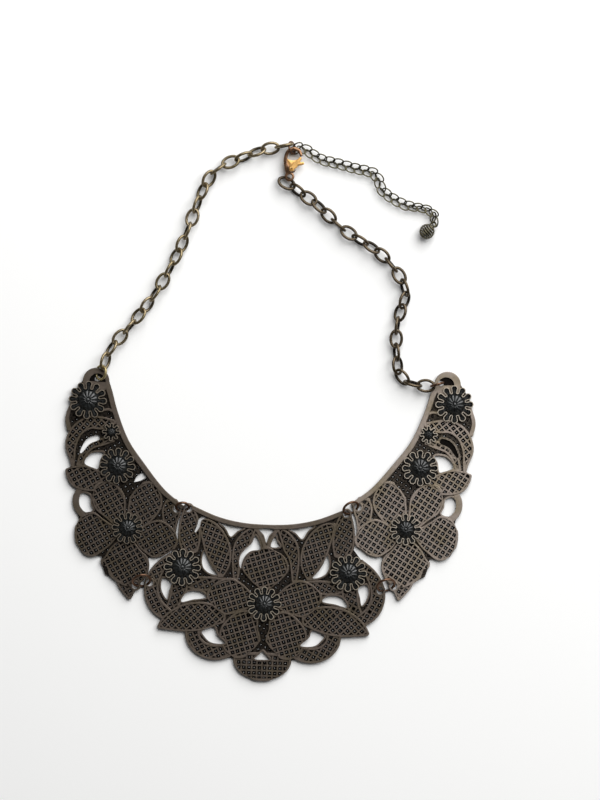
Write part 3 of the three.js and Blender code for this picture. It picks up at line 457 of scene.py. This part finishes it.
# Where the mirrored plate has the first of them, the other has a smooth blind hollow; its low
# floor takes the dark colour and stands in for painted shade in that opening.
hollow = closed_curve(BETWEEN_CRESCENTS) - SIDE_MIDDLE
hollow_rim = shrunk(hollow, -0.8)
combine(side_plate, stack("hollow rim", [(hollow_rim, 0.05), (hollow_rim, 1.3)]), "UNION")
cut_through(side_plate, [hollow], bottom=0.4)
cut_through(left_plate, [circle(70.1, 12.35, 1.2) - SIDE_MIDDLE, hollow,
                         closed_curve(ABOVE_PETAL) - SIDE_MIDDLE])
lay(side_plate, *RIGHT_PLACE)
lay(left_plate, *LEFT_PLACE)
# Where the plates turn from dark (blackening and painted shade) to bright (rubbed metal and
# painted highlight), in mm above the back.
DARK_TO_BRIGHT_HEIGHTS = (0.9, 1.6)
# The right plate's copy of the antique bronze, painted lighter as the lit side: a greyed, warm
# painted sheen on every rim, near black in the pits.
LIT_SIDE_PLATING = antique_metal("Antique bronze plating, painted lit side", "#a0948a", "#0e0906", "#8c7f64",
                               DARK_TO_BRIGHT_HEIGHTS, crest_highlight="#c2b8a9")
# The same finish painted darker as the shaded side, for the left plate: brown with duller edges.
SHADED_SIDE_PLATING = antique_metal("Antique bronze plating, painted shaded side", "#665c53", "#0c0805", "#5a503e",
                             DARK_TO_BRIGHT_HEIGHTS, crest_highlight="#8f8577")
finish_piece(side_plate, LIT_SIDE_PLATING, "necklace", "plate_metal", "right_plate")
finish_piece(left_plate, SHADED_SIDE_PLATING, "necklace", "plate_metal", "left_plate")

# ---------------------------------------------------------------- centre plate
# The bib's middle: a five-petalled flower between two scrolls, hung on a plain neck rail.
# Cast and finished like the side plates, and all but symmetric about its middle line.
CENTRE_PLACE = (-1.6 + SHIFT[0], -45 + SHIFT[1], -2.03, False)


def flipped(row):
    rows, top, angle = row
    return [(-x, y, w) for x, y, w in rows], top, angle if angle in (None, PETAL_ANGLE) else -angle


WING_ANGLE = math.radians(62)
PETAL_ANGLE = math.radians(19)      # the same way on all five petals
LEAF_ANGLE = math.radians(45)
CENTRE_SIDES = {
    "inner stem": (
        [(11.8, -22, 2.4), (11.4, -13, 4.6), (9.8, -8.4, 6.4), (7.8, -4.6, 5), (4.8, -1, 2)],
        1.6, WING_ANGLE),
    "bar to the scroll": (
        [(34, -22.6, 4), (28, -24, 5.6), (22, -24, 5.8), (15, -23.5, 4)],
        1.6, WING_ANGLE),
    "scroll foot": (
        [(33.8, -23, 7), (34.5, -28, 6.6), (35.9, -31.8, 5.2), (37.5, -35.5, 5)],
        1.6, WING_ANGLE),
    "corner leaf": (
        [(30.3, -11.5, 6.4), (30.7, -7, 9), (30.9, -2, 8.8), (31.2, 3, 6.6), (31.6, 6.4, 3.6)],
        1.65, WING_ANGLE),
    "inner leaf": (
        [(17.8, -21, 2.6), (17.8, -15.5, 8), (19.2, -10.5, 10.6), (21.5, -5, 9.6),
         (24.3, -1, 6.6), (27.2, 1.4, 1.6)],
        1.75, math.radians(20)),
    "lower scroll": (
        [(28.4, -42, 6.2), (27.6, -46.6, 5.9), (24.5, -49.9, 6), (20, -51.3, 6.2),
         (15.5, -50.8, 6), (11.6, -49.3, 5)],
        1.7, WING_ANGLE),
    "outer scroll": (
        [(37.6, -13.4, 3), (42.2, -18.2, 4.8), (44.9, -23.4, 5.8), (45.2, -28, 6),
         (43.4, -32.8, 6), (39.6, -36.3, 5.4), (35.5, -38.2, 4)],
        1.75, WING_ANGLE),
    "side leaf": (
        [(16, -36.5, 6), (24, -36.9, 11.2), (31, -37.9, 11.4), (37, -39.6, 7.8),
         (40.5, -41.2, 3.8), (42, -42, 1.4)],
        1.8, LEAF_ANGLE),
    "side petal": (
        [(5.5, -30.4, 6), (10, -29.5, 12), (14.5, -28.8, 15), (19, -28.4, 11.4),
         (22.3, -28.2, 4.6)],
        1.8, PETAL_ANGLE),
    "lower petal": (
        [(4.8, -36, 7), (7.6, -40, 13.6), (9.2, -44.5, 17), (9.4, -49, 13.2), (9, -52.6, 5.4)],
        1.85, PETAL_ANGLE),
    "top stem": (
        [(4.8, -0.9, 1.4), (2.3, -4.6, 1.4), (0, -9.8, 1.6)],
        1.6, None),
}
CENTRE_MIDDLE = {
    "bottom fan": (
        [(0, -51.6, 22.6), (0, -54.5, 23.2), (0, -57.5, 20.4), (0, -59.8, 15.4), (0, -61.3, 8.6)],
        1.65, 0.0),
    "upper petal": (
        [(0, -25, 5), (0, -21.5, 13), (0, -17, 19), (0, -12.5, 15.5), (0, -9.3, 5)],
        1.85, PETAL_ANGLE),
    "neck rail": (
        [(-32, 6.9, 1.8), (-20, 2, 1.9), (-10, -0.1, 1.9), (0, -0.6, 1.9), (10, -0.1, 1.9),
         (20, 2, 1.9), (32, 6.9, 1.8)],
        1.9, None),
}
CENTRE_ROSETTES = {"flower": (0, -31.3, 7), "right": (33.2, -17.8, 7.5),
                   "left": (-33.2, -17.8, 7.5)}
CENTRE_LUGS = [(31.6, 5.8), (46.1, -24.4), (-31.6, 5.8), (-46.1, -24.4)]
CENTRE_GROUND = [
    (10, -0.3), (20, 1.8), (31.5, 6.3), (34.3, 2), (34.9, -4), (34.6, -8), (39, -13.5),
    (43.3, -17), (46.9, -22.8), (47.4, -28), (45.2, -33.6), (41.3, -37.5), (40.6, -41.3),
    (36.5, -42.5), (30.5, -43.4), (29.6, -47.3), (26, -51.3), (20.2, -53.4), (15, -52.9),
    (11.2, -53.5), (10.9, -55), (9, -58), (5.5, -60.6),
]
# Openings near the middle, which aren't mirrored, then those that are there on both sides.
MIDDLE_OPENINGS = [
    # under the neck rail, beside the left stem, beside the right stem, and above the fan
    [(3.1, -1.5), (1.1, -3.9), (0, -6.8), (-1.1, -3.9), (-3.1, -1.5)],
    [(-4.5, -4.1), (-2.8, -6.7), (-2.3, -9.5), (-5.7, -10.3), (-7.6, -11.6), (-9.2, -14.3),
     (-9.9, -17.4), (-10.5, -15.8), (-10.2, -12.5), (-8.8, -10.2), (-5.8, -7.2)],
    [(3.6, -4.2), (4.2, -5.9), (5.6, -8.1), (1.9, -8.4), (2.6, -5.4)],
    [(-3.1, -53.4), (-1.4, -51.6), (0, -50.2), (1.4, -51.6), (3, -53.3), (0, -53.7)],
]
SIDE_OPENINGS = [
    # between two leaves, beside the rosette, inside the scroll, above the long leaf, below it
    [(19, 0.6), (16.5, -1.6), (14.3, -4.9), (11.6, -2.6), (9, -1.1), (13, -0.8)],
    [(24.6, -11), (25.5, -15), (24.6, -18), (22.3, -19.8), (19, -20.4), (21.3, -17.4),
     (23, -14.6)],
    [(40.8, -22.4), (41.5, -25.5), (40.8, -28.3), (39, -30.7), (38.2, -27.5), (37.4, -23.8)],
    [(24, -28), (26.5, -27.1), (30.2, -27.4), (32.4, -29.2), (33.2, -31.6), (28.5, -30.6),
     (23.2, -29.5)],
    [(19.6, -41.3), (24.6, -43.3), (23.6, -45), (21.3, -47.2), (18.5, -47.9), (15, -47.5),
     (18.4, -44.2)],
]


def other_side(points):
    return [(-x, y) for x, y in points]


centre_ground = np.array(CENTRE_GROUND + other_side(CENTRE_GROUND)[::-1])[::-1]
openings = MIDDLE_OPENINGS + SIDE_OPENINGS + [other_side(points) for points in SIDE_OPENINGS]
centre_plate = cast_plate(
    "centre_plate_casting", centre_ground, WING_ANGLE,
    [closed_curve(points) for points in openings],
    [CENTRE_MIDDLE["bottom fan"]]
    + [row for side in CENTRE_SIDES.values() for row in (side, flipped(side))]
    + [CENTRE_MIDDLE["upper petal"], CENTRE_MIDDLE["neck rail"]],
    [(x, y, LUG_R, LUG_TOP) for x, y in CENTRE_LUGS], CENTRE_ROSETTES.values(),
)
# A narrow slot in the left corner leaf only.
corner_slot = band([(-24.3, 2.6, 0.8), (-26.6, 1.6, 1.1), (-27.3, -1, 1.2), (-28.6, -3.6, 0.6)])
cut_through(centre_plate, [corner_slot] + [circle(x, y, LUG_EYE_R) for x, y in CENTRE_LUGS])
lay(centre_plate, *CENTRE_PLACE)
# The same finish painted between the lit and the shaded side, for the centre plate: brown faces
# with edges nearly as bright as the right plate's.
HALF_LIT_PLATING = antique_metal("Antique bronze plating, painted half lit", "#71665d", "#0c0805",
                                    "#635946", DARK_TO_BRIGHT_HEIGHTS, crest_highlight="#b3a999")
finish_piece(centre_plate, HALF_LIT_PLATING, "necklace", "plate_metal", "centre_plate")

# ---------------------------------------------------------------- rosette inserts
# Eleven black inserts cemented in the wavy cups: a fluted dome with a button on top, and a
# small ribbed tongue in each lobe. Moulded acrylic, glossy on the ribs.
HIGHLIGHT_SPECK_SIZE = 0.9         # mm


def black_acrylic():
    """Glossy near-black, greyed in random specks as painted highlights; the same specks vary its
    roughness and bump, so that the ribs shine and the rest is dull.
    """
    material = bpy.data.materials.new("Black acrylic, moulded")
    material.use_nodes = True
    tree = material.node_tree
    tree.nodes.clear()
    place = add(tree, "ShaderNodeTexCoord").outputs["Object"]
    highlight_specks = add(tree, "ShaderNodeTexNoise", Vector=place, Scale=1 / (HIGHLIGHT_SPECK_SIZE * MM), Detail=5.0)
    # Painted highlight: the specks mix in a lighter grey.
    share = add(tree, "ShaderNodeMapRange", Value=highlight_specks.outputs["Fac"], From_Min=0.4, From_Max=0.75)
    colour = add(tree, "ShaderNodeMix", {"data_type": "RGBA"}, i0=share.outputs[0],
                 i6=linear("#0a0b0b"), i7=linear("#2c2f2f"))
    rough = add(tree, "ShaderNodeMapRange", Value=highlight_specks.outputs["Fac"], From_Min=0.3, From_Max=0.7,
                To_Min=0.2, To_Max=0.42)
    bump = add(tree, "ShaderNodeBump", Height=highlight_specks.outputs["Fac"], Strength=0.2,
               Distance=0.08 * MM)
    shader = add(tree, "ShaderNodeBsdfPrincipled", Base_Color=colour.outputs[2],
                 Roughness=rough.outputs[0], IOR=1.49, Specular_IOR_Level=0.6,
                 Normal=bump.outputs[0])
    add(tree, "ShaderNodeOutputMaterial", Surface=shader.outputs[0])
    return material


ACRYLIC = black_acrylic()


def polar_sheet(name, x, y, radii, heights_of, around):
    """A closed button shape: rings of points whose height is given for each radius and angle."""
    a = np.linspace(0, 2 * math.pi, around, endpoint=False)
    vertices, faces = [(x, y, heights_of(0.0, a)[0])], []
    for radius in radii:
        z = heights_of(radius, a)
        vertices.extend(zip(x + radius * np.cos(a), y + radius * np.sin(a), z))
    foot = np.full(around, CUP_FLOOR + 0.05)
    vertices.extend(zip(x + radii[-1] * np.cos(a), y + radii[-1] * np.sin(a), foot))
    for k in range(around):
        n = (k + 1) % around
        faces.append([0, 1 + k, 1 + n])
        for ring in range(len(radii)):
            p, q = 1 + ring * around, 1 + (ring + 1) * around
            faces.append([p + k, q + k, q + n, p + n])
    faces.append([1 + len(radii) * around + k for k in range(around)][::-1])
    return mesh_object(name, vertices, faces)


def rosette_insert(name, x, y, r):
    lobes = lobe_count(r)       # ribs, and flutes of the dome
    dome_r = 0.52 * r

    def dome(radius, a):
        s = radius / dome_r
        crown = CUP_TOP + 0.45 - 1.35 * s ** 2.2
        groove = 0.34 * min(1, 3 * s) * (s < 0.97) * np.abs(np.sin(a * lobes / 2)) ** 0.6
        button = 0.28 * math.sqrt(max(0.0, 1 - (s / 0.2) ** 2)) if s < 0.2 else 0
        return np.full(len(a), crown + button) + (groove - 0.12 if s > 0.2 else 0)

    radii = dome_r * np.array([0.06, 0.12, 0.17, 0.2, 0.24, 0.34, 0.45, 0.56, 0.67, 0.78,
                               0.88, 0.95, 1.0])
    body = polar_sheet(name, x, y, radii, dome, lobes * 8)
    floor_ring = rosette_ring(x, y, r, 0.45)
    floor_levels = [(floor_ring, CUP_FLOOR + 0.02), (floor_ring, CUP_FLOOR + 0.45)]
    parts = [body, stack("floor", floor_levels)]
    for lobe in range(lobes):
        a = 2 * math.pi * lobe / lobes
        way = np.array([math.cos(a), math.sin(a)])
        rows = [(*((x, y) + way * 0.5 * r), 0.075 * r), (*((x, y) + way * 0.78 * r), 0.095 * r),
                (*((x, y) + way * 0.89 * r), 0.07 * r)]
        rib = band(rows, per_row=3)
        parts.append(stack("rib", [(rib, CUP_FLOOR + 0.4), (rib, CUP_FLOOR + 0.95),
                                   (shrunk(rib, 0.14), CUP_FLOOR + 1.15)]))
    with bpy.context.temp_override(active_object=body, selected_editable_objects=parts):
        bpy.ops.object.join()
    return body


def side_local(x, y):
    return x - SIDE_MIDDLE[0], y - SIDE_MIDDLE[1]


for side, place in (("right", RIGHT_PLACE), ("left", LEFT_PLACE)):
    for name, (x, y, r) in SIDE_ROSETTES.items():
        insert = rosette_insert(f"{side}_{name}_fluted_insert", *side_local(x, y), r)
        lay(insert, *place)
        finish_piece(insert, ACRYLIC, "necklace", "black_insert", f"{side}_{name}_insert",
                     angle=50)
for name, (x, y, r) in CENTRE_ROSETTES.items():
    insert = rosette_insert(f"centre_{name}_fluted_insert", x, y, r)
    lay(insert, *CENTRE_PLACE)
    finish_piece(insert, ACRYLIC, "necklace", "black_insert", f"centre_{name}_insert", angle=50)

# ---------------------------------------------------------------- jump rings
# Seven round wire rings that join the plates, the chains and the clasp. Copper-plated wire,
# wound and cut, darkened in service; each keeps the place and lean of its frame ring.


def wire_loop(length, width, wire, steps, sides):
    """A closed loop of round wire: length along X, lying in XY, about its own middle."""
    a = np.arange(steps) / steps * 2 * math.pi
    line = np.c_[(length - wire) / 2 * np.cos(a), (width - wire) / 2 * np.sin(a)]
    ahead = np.roll(line, -1, axis=0) - np.roll(line, 1, axis=0)
    out = np.c_[ahead[:, 1], -ahead[:, 0]] / np.linalg.norm(ahead, axis=1)[:, None]
    b = (np.arange(sides) + 0.5) / sides * 2 * math.pi
    flat = line[:, None, :] + out[:, None, :] * (wire / 2 * np.cos(b))[None, :, None]
    height = np.broadcast_to(wire / 2 * np.sin(b), (steps, sides))[..., None]
    vertices = np.concatenate([flat, height], axis=2).reshape(-1, 3)
    faces = []
    for i in range(steps):
        for j in range(sides):
            k, n = (i + 1) % steps * sides, (j + 1) % sides
            faces.append([i * sides + j, k + j, k + n, i * sides + n])
    return vertices, faces


def gathered(name, shapes):
    """One mesh of several separate shapes."""
    vertices, faces, count = [], [], 0
    for own, own_faces in shapes:
        vertices.append(own)
        faces.extend([[count + k for k in face] for face in own_faces])
        count += len(own)
    return mesh_object(name, np.vstack(vertices), faces)


# Copper plating on wire, worn: red-brown, with a pale pink-gold painted highlight on top and
# painted shade low down.
COPPER_WIRE = antique_metal("Antique copper plating on wire", "#6f5442", "#1a100b", "#50392b",
                            (0.0, 2.6), 0.3)
# Brass plating on one ring: paler and yellower than its neighbours', and like them painted bright
# on top as a highlight and dark low down as shade.
BRASS_WIRE = antique_metal("Antique brass plating on wire", "#b5a67c", "#2c2416", "#857549",
                           (0.0, 2.6), 0.3)
RINGS = {
    "upper_right_ring": COPPER_WIRE, "upper_left_ring": COPPER_WIRE,
    "lower_right_ring": COPPER_WIRE, "lower_left_ring": COPPER_WIRE,
    "right_end_ring": COPPER_WIRE, "left_end_ring": BRASS_WIRE, "clasp_ring": COPPER_WIRE,
}
RING_WIRE_GAIN = 1.1    # the round wire is a little thicker than the frame's faceted wire
for node, material in RINGS.items():
    points = np.array([v.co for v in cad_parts[node].data.vertices]) / MM
    middle = points.mean(0)
    axes = np.linalg.svd(points - middle, full_matrices=False)[2]
    across = np.abs((points - middle) @ axes[2]).max()
    reach = np.linalg.norm((points - middle) @ axes[:2].T, axis=1).max()
    wire = 2 * across * RING_WIRE_GAIN
    vertices, faces = wire_loop(2 * reach, 2 * reach, wire, 48, 12)
    if np.linalg.det(axes) < 0:
        axes[2] *= -1
    ring = gathered(f"{node}_wire", [(vertices @ axes + middle, faces)])
    finish_piece(ring, material, "necklace", "ring_metal", node, angle=60)

# ---------------------------------------------------------------- chains
# A cable chain of 22 oval links on each side, each rolled about the chain's line by a fixed
# step from the one before. Steel wire, antique bronze plated; the left chain has a paler copy of
# the plating, and both are painted darker low down as shade and brighter on top as a highlight.
LINK = (8, 5.6, 1.18)   # outer length and width, and wire thickness
LINK_Z = 2.86           # height of the chain's line
LINKS_PER_SIDE = 22


def knots_along(rows, count):
    """Points at equal distances along a smooth curve through the rows."""
    t = np.linspace(0, 1, 601)
    line = spline(rows, t)
    run = np.r_[0, np.cumsum(np.linalg.norm(np.diff(line, axis=0), axis=1))]
    return spline(rows, np.interp(np.linspace(0, run[-1], count + 1), run, t))


def set_along(vertices, start, end, roll):
    x = (end - start) / np.linalg.norm(end - start)
    level = np.cross((0, 0, 1), x)
    level /= np.linalg.norm(level)
    up = np.cross(x, level)
    y = math.cos(roll) * level + math.sin(roll) * up
    return vertices @ np.array([x, y, np.cross(x, y)]) + (start + end) / 2


def moved(rows):
    """Drawn rows of x, y and a third value, set in the frame."""
    return [(x + SHIFT[0], y + SHIFT[1], third) for x, y, third in rows]


def chain(name, rows, roll_of):
    knots = knots_along(moved(rows), LINKS_PER_SIDE)
    own, faces = wire_loop(*LINK, 30, 10)
    shapes = [(set_along(own, knots[k - 1], knots[k], math.radians(roll_of(k))), faces)
              for k in range(1, LINKS_PER_SIDE + 1)]
    return gathered(name, shapes)


LEFT_ROUTE = [
    (-66.95, 18.16, 3.35), (-65.3, 23.4, LINK_Z), (-62, 28.4, LINK_Z), (-56.3, 34.6, LINK_Z),
    (-45.8, 48.4, LINK_Z), (-37.1, 64, LINK_Z), (-32.5, 75, LINK_Z), (-28, 87, LINK_Z),
    (-22.5, 96.8, LINK_Z), (-11.1, 102.2, LINK_Z), (-3, 105.2, LINK_Z), (2.6, 106.2, 3.15),
    (7.9, 107.2, 4.5),
]
RIGHT_ROUTE = [
    (64.5, 10.75, LINK_Z), (56, 11.6, LINK_Z), (51.5, 14.5, LINK_Z), (50.3, 22, LINK_Z),
    (50, 31, LINK_Z), (51.4, 40, LINK_Z), (54.2, 47.5, LINK_Z), (51.3, 54.9, LINK_Z),
    (44.1, 63.4, LINK_Z), (29.2, 73.2, LINK_Z), (16.5, 84.9, LINK_Z), (12.4, 87.6, LINK_Z),
    (9.1, 90.3, 2.5), (3.9, 93, 2.3),
]
# Antique bronze over steel wire: dark olive-brown, painted darker low down as shade, with a
# painted yellow highlight along the top of each wire.
BRONZE_WIRE = antique_metal("Antique bronze plating on wire", "#5f5343", "#0f0b08", "#463c2b",
                            (0.8, 4.6), 0.28)
# A paler copy of the same plating, for the left chain, with the painted shade starting lower down.
PALER_BRONZE_WIRE = antique_metal("Antique bronze plating on wire, paler copy", "#8a7c63", "#1c160e",
                                   "#6c6042", (0.4, 4.2), 0.28)
# Degrees of roll for the right chain's last three links, which turn in under the clasp's eye.
LAST_ROLLS = {20: 10, 21: -52, 22: 24}
# Each chain's route, the place along it where a link would lie flat, and the roll step.
for side, route, flat_link, step, set_rolls, wire in (
        ("left", LEFT_ROUTE, 2.87, 70.5, {}, PALER_BRONZE_WIRE),
        ("right", RIGHT_ROUTE, 1, 72.9, LAST_ROLLS, BRONZE_WIRE)):
    links = chain(f"{side}_cable_chain", route,
                  lambda k: set_rolls.get(k, (k - flat_link) * step))
    nodes = [f"{side}_link_{k:02d}" for k in range(1, 16)] + [f"{side}_chain_run"]
    finish_piece(links, wire, "necklace", "chain_metal", *nodes, angle=60)

# ---------------------------------------------------------------- clasp
# A lobster clasp: a cast hook with an eye at its tail, a flat tongue inside it, and a sprung
# lever turning on a rivet. Plated brass: copper-gold on the hook, and on the other two a yellower
# gold that is a painted highlight.
CLASP_Z = (1.95, 3.75)  # faces of the hook
SLOT_Z = (1.15, 4.6)    # heights that the lever's slot is cut between, beyond both faces
SLOT_GAP = 0.3          # clearance on each side of the lever
PRESSED = 15            # degrees that the lever turns


def rounded(name, ring, bottom, top, by):
    """A solid with well rounded edges, from a smooth outline."""
    levels = [(0.9, 0), (0.45, 0.12), (0.12, 0.4), (0, 1)]
    lower = [(shrunk(ring, inset * by), bottom + rise * by) for inset, rise in levels]
    upper = [(shrunk(ring, inset * by), top - rise * by) for inset, rise in reversed(levels)]
    return stack(name, lower + upper)


HOOK = moved([(7.5, 95, 2.6), (6.7, 97.4, 2.4), (5.9, 99.8, 1.6), (5.9, 102, 1.4),
              (6.7, 104.2, 1.4), (8.9, 105.6, 1.4), (11.2, 104.7, 1.4), (12.2, 102.7, 1.1)])
LEVER = moved([(8.3, 97.4, 1.7), (9.7, 99.1, 2.3), (10.8, 100.4, 1.7), (11.9, 101.9, 1.0)])
THUMB = moved([(10, 99.2, 1.2), (12.2, 99.6, 1.3), (13, 99.8, 1.1)])
EYE = (7.4 + SHIFT[0], 94.4 + SHIFT[1])
PIVOT = (8.3 + SHIFT[0], 97.4 + SHIFT[1])
clasp = rounded("clasp_hook_body", band(HOOK, per_row=8), *CLASP_Z, 0.35)
combine(clasp, rounded("eye", circle(*EYE, 1.95, 32), *CLASP_Z, 0.4), "UNION")
combine(clasp, rounded("pivot", circle(*PIVOT, 1.6, 32), *CLASP_Z, 0.3), "UNION")
hole = circle(*EYE, 0.95, 32)
combine(clasp, stack("hole", [(hole, 0), (hole, 6)]), "DIFFERENCE")
# The slot is cut where the lever stands at rest, halfway and pressed.
about = Matrix.Translation((PIVOT[0] * MM, PIVOT[1] * MM, 0))
for turn in (0, PRESSED / 2, PRESSED):
    for rows in (LEVER, THUMB):
        wide = band([(x, y, w + 2 * SLOT_GAP) for x, y, w in rows])
        slot_cut = stack("slot", [(wide, SLOT_Z[0]), (wide, SLOT_Z[1])])
        slot_cut.data.transform(
            about @ Matrix.Rotation(math.radians(turn), 4, "Z") @ about.inverted())
        combine(clasp, slot_cut, "DIFFERENCE")
seat = circle(*PIVOT, 1.15, 32)
combine(clasp, stack("seat", [(seat, SLOT_Z[0]), (seat, SLOT_Z[1])]), "DIFFERENCE")
# Copper-gold plating, polished: warm brown with bright edges, painted darker low down as shade and
# brighter on top as a highlight.
COPPER_GOLD = antique_metal("Copper-gold plating, polished", "#86664e", "#24150d", "#76583e",
                            (1.6, 3.6), 0.25, 2.5)
finish_piece(clasp, COPPER_GOLD, "necklace", "clasp_metal", "clasp_body", angle=45)

# The lever and the tongue are painted gold all over, the brightest yellow on the piece: a painted
# highlight.
GOLD = antique_metal("Gold plating, painted highlight", "#e9bf7a", "#8a5c2a", "#cf9a55",
                     (-3.0, -2.0), 0.34, 2.5)
# The flat tongue under the lever, which closes the lower half of the hook.
WEB = np.array([(8.9, 96.6), (9.6, 98.2), (12.3, 101.9), (10.6, 101.3), (8.8, 101.0), (7, 101.3),
                (6, 102.2), (6.1, 99.8), (6.9, 97.4)]) + SHIFT
web = rounded("clasp_web", closed_curve(WEB.tolist(), 4), CLASP_Z[0], CLASP_Z[0] + 0.36, 0.12)
finish_piece(web, GOLD, "necklace", "clasp_metal", angle=45)

LEVER_Z = (CLASP_Z[0] + 0.55, CLASP_Z[1] - 0.1)
lever = rounded("clasp_thumb_lever", band(LEVER, per_row=8), *LEVER_Z, 0.3)
combine(lever, rounded("thumb", band(THUMB, per_row=8), *LEVER_Z, 0.3), "UNION")
combine(lever, rounded("hub", circle(*PIVOT, 1.05, 28), *LEVER_Z, 0.2), "UNION")
rivet_hole = circle(*PIVOT, 0.45, 24)
combine(lever, stack("rivet hole", [(rivet_hole, 2.2), (rivet_hole, 5)]), "DIFFERENCE")
finish_piece(lever, GOLD, "lever", "clasp_metal", "clasp_lever", angle=45)

# ---------------------------------------------------------------- extender
# Two strands of 20 fine ovals side by side, half a link apart, that lengthen the necklace and
# end in a small ball of wire rings. Gunmetal-plated steel wire, dull beside the chains.
FINE_LINK = (4.7, 3.05, 0.56)   # outer length and width, and wire thickness
FINE_LINKS = 20         # in each strand
STRAND_GAP = 1.7        # between the middles of the strands
FINE_LEAN = 26          # degrees that each strand leans in
FINE_ROUTE = [
    (8.66, 105.05, 0.78), (12.2, 106.3, 2), (15.6, 104.2, 1.7), (19.4, 101.5, 1.62),
    (26.9, 99.6, 1.62), (34.4, 97.5, 1.62), (41.2, 95.8, 1.62), (43.2, 93, 1.62),
    (44, 89.4, 1.62), (49.9, 84.9, 1.62), (55, 82.6, 1.62), (61.4, 81.7, 1.62),
    (65.2, 79.6, 1.62), (65, 75.6, 2.1),
]
DROP = (62.3, 72.5, 3.0)        # middle of the ball
# Gunmetal plating: dark and faintly green, with a thin painted highlight along the top of each
# wire and painted shade low down.
DARK_WIRE = antique_metal("Gunmetal plating on wire", "#5b5644", "#12100b", "#46422c",
                          (0.2, 2.8), 0.3)
knots = knots_along(moved(FINE_ROUTE), FINE_LINKS)
own, own_faces = wire_loop(*FINE_LINK, 26, 8)
fine_links = []
DRAWN_IN_FROM = FINE_LINKS - 3  # the strands draw together towards the ball
for k in range(1, FINE_LINKS + 1):
    start, end = knots[k - 1], knots[k]
    ahead = (end - start) / np.linalg.norm(end - start)
    level = np.cross((0, 0, 1), ahead)
    for strand in (1, -1):
        # Each oval leans in towards the other strand, and ovals lie on each other like scales.
        lean = level * strand * 0.25
        shift = level * strand * STRAND_GAP / 2 * (1 if k < DRAWN_IN_FROM else 0.6)
        shift = shift + (end - start) * strand / 4
        fine_links.append((set_along(own, start + shift - lean, end + shift + lean,
                                     math.radians(FINE_LEAN * strand)), own_faces))
extender = gathered("extender_fine_chain", fine_links)
finish_piece(extender, DARK_WIRE, "necklace", "extender_metal",
             "extender_upper_run", "extender_lower_run", angle=60)

# The ball is six upright rings side by side, one flat ring round them, and an eye.
BALL_R = 3.0
drop_middle = np.array(moved([DROP])[0])
loops = []
axis = np.array([math.cos(math.radians(38)), math.sin(math.radians(38)), 0])
for offset in (-2.3, -1.4, -0.5, 0.4, 1.3, 2.2):
    across = 2 * math.sqrt(BALL_R ** 2 - offset ** 2)
    own, faces = wire_loop(across, across, 0.62, 26, 8)
    upright = np.array([np.cross((0, 0, 1), axis), (0, 0, 1), axis])
    loops.append((own @ upright + drop_middle + axis * offset, faces))
own, faces = wire_loop(6.1, 6.1, 0.66, 32, 8)
loops.append((own + drop_middle, faces))
toward = np.array([math.cos(math.radians(48)), math.sin(math.radians(48)), -0.2])
own, faces = wire_loop(3.2, 3.2, 0.75, 26, 8)
eye_middle = drop_middle + toward * 3.6
loops.append((set_along(own, eye_middle - toward, eye_middle + toward, math.radians(-40)), faces))
drop = gathered("extender_wire_ball", loops)
finish_piece(drop, DARK_WIRE, "necklace", "extender_metal", "extender_drop", angle=60)

# ---------------------------------------------------------------- surface, light and camera
# A plain white table in a soft room with one window, seen from straight above with a long lens.
TABLE_HALF = 1500
TABLE_Z = -0.06         # just under the lowest wire
corners = [(x * TABLE_HALF, y * TABLE_HALF, TABLE_Z)
           for x, y in ((-1, -1), (1, -1), (1, 1), (-1, 1))]
floor = mesh_object("table_top", corners, [[0, 1, 2, 3]])
# Matt white card, which stays an even white and takes only faint soft shadows.
white = bpy.data.materials.new("White card, matt")
white.use_nodes = True
white.node_tree.nodes["Principled BSDF"].inputs["Base Color"].default_value = linear("#fbfbfa")
white.node_tree.nodes["Principled BSDF"].inputs["Roughness"].default_value = 0.9
white.node_tree.nodes["Principled BSDF"].inputs["Specular IOR Level"].default_value = 0.1
floor.data.materials.append(white)

# The room is brighter round the horizon than overhead, so that faces lying flat stay dark and
# sloping edges gleam.
HORIZON, OVERHEAD = 3.4, 0.56
world = bpy.data.worlds.new("Soft room")
bpy.context.scene.world = world
world.use_nodes = True
sky = add(world.node_tree, "ShaderNodeTexCoord").outputs["Generated"]
up = add(world.node_tree, "ShaderNodeSeparateXYZ", Vector=sky).outputs["Z"]
room = add(world.node_tree, "ShaderNodeMapRange", Value=up, From_Min=0.0, From_Max=1.0,
           To_Min=HORIZON, To_Max=OVERHEAD)
background = world.node_tree.nodes["Background"]
world.node_tree.links.new(room.outputs[0], background.inputs["Strength"])
bpy.context.scene.view_settings.view_transform = "Standard"

WINDOW = (0.5, 0.8, 0.9)        # metres from the middle of the necklace
window_data = bpy.data.lights.new("window", "AREA")
window_data.energy, window_data.size = 34, 1.5
window = bpy.data.objects.new("window", window_data)
bpy.context.scene.collection.objects.link(window)
window.location = WINDOW
window.rotation_euler = (-Vector(WINDOW)).to_track_quat("-Z", "Y").to_euler()

VIEW_MIDDLE = (11.8 * MM, 4.6 * MM)
VIEW_SPAN = 0.32        # metres across the longer side of the view
LENS, SENSOR = 200, 36
camera_data = bpy.data.cameras.new("camera")
camera_data.lens, camera_data.sensor_width = LENS, SENSOR
camera = bpy.data.objects.new("camera", camera_data)
camera.location = (*VIEW_MIDDLE, VIEW_SPAN * LENS / SENSOR)
camera_data.clip_start, camera_data.clip_end = 0.05, 20
bpy.context.scene.collection.objects.link(camera)
bpy.context.scene.camera = camera
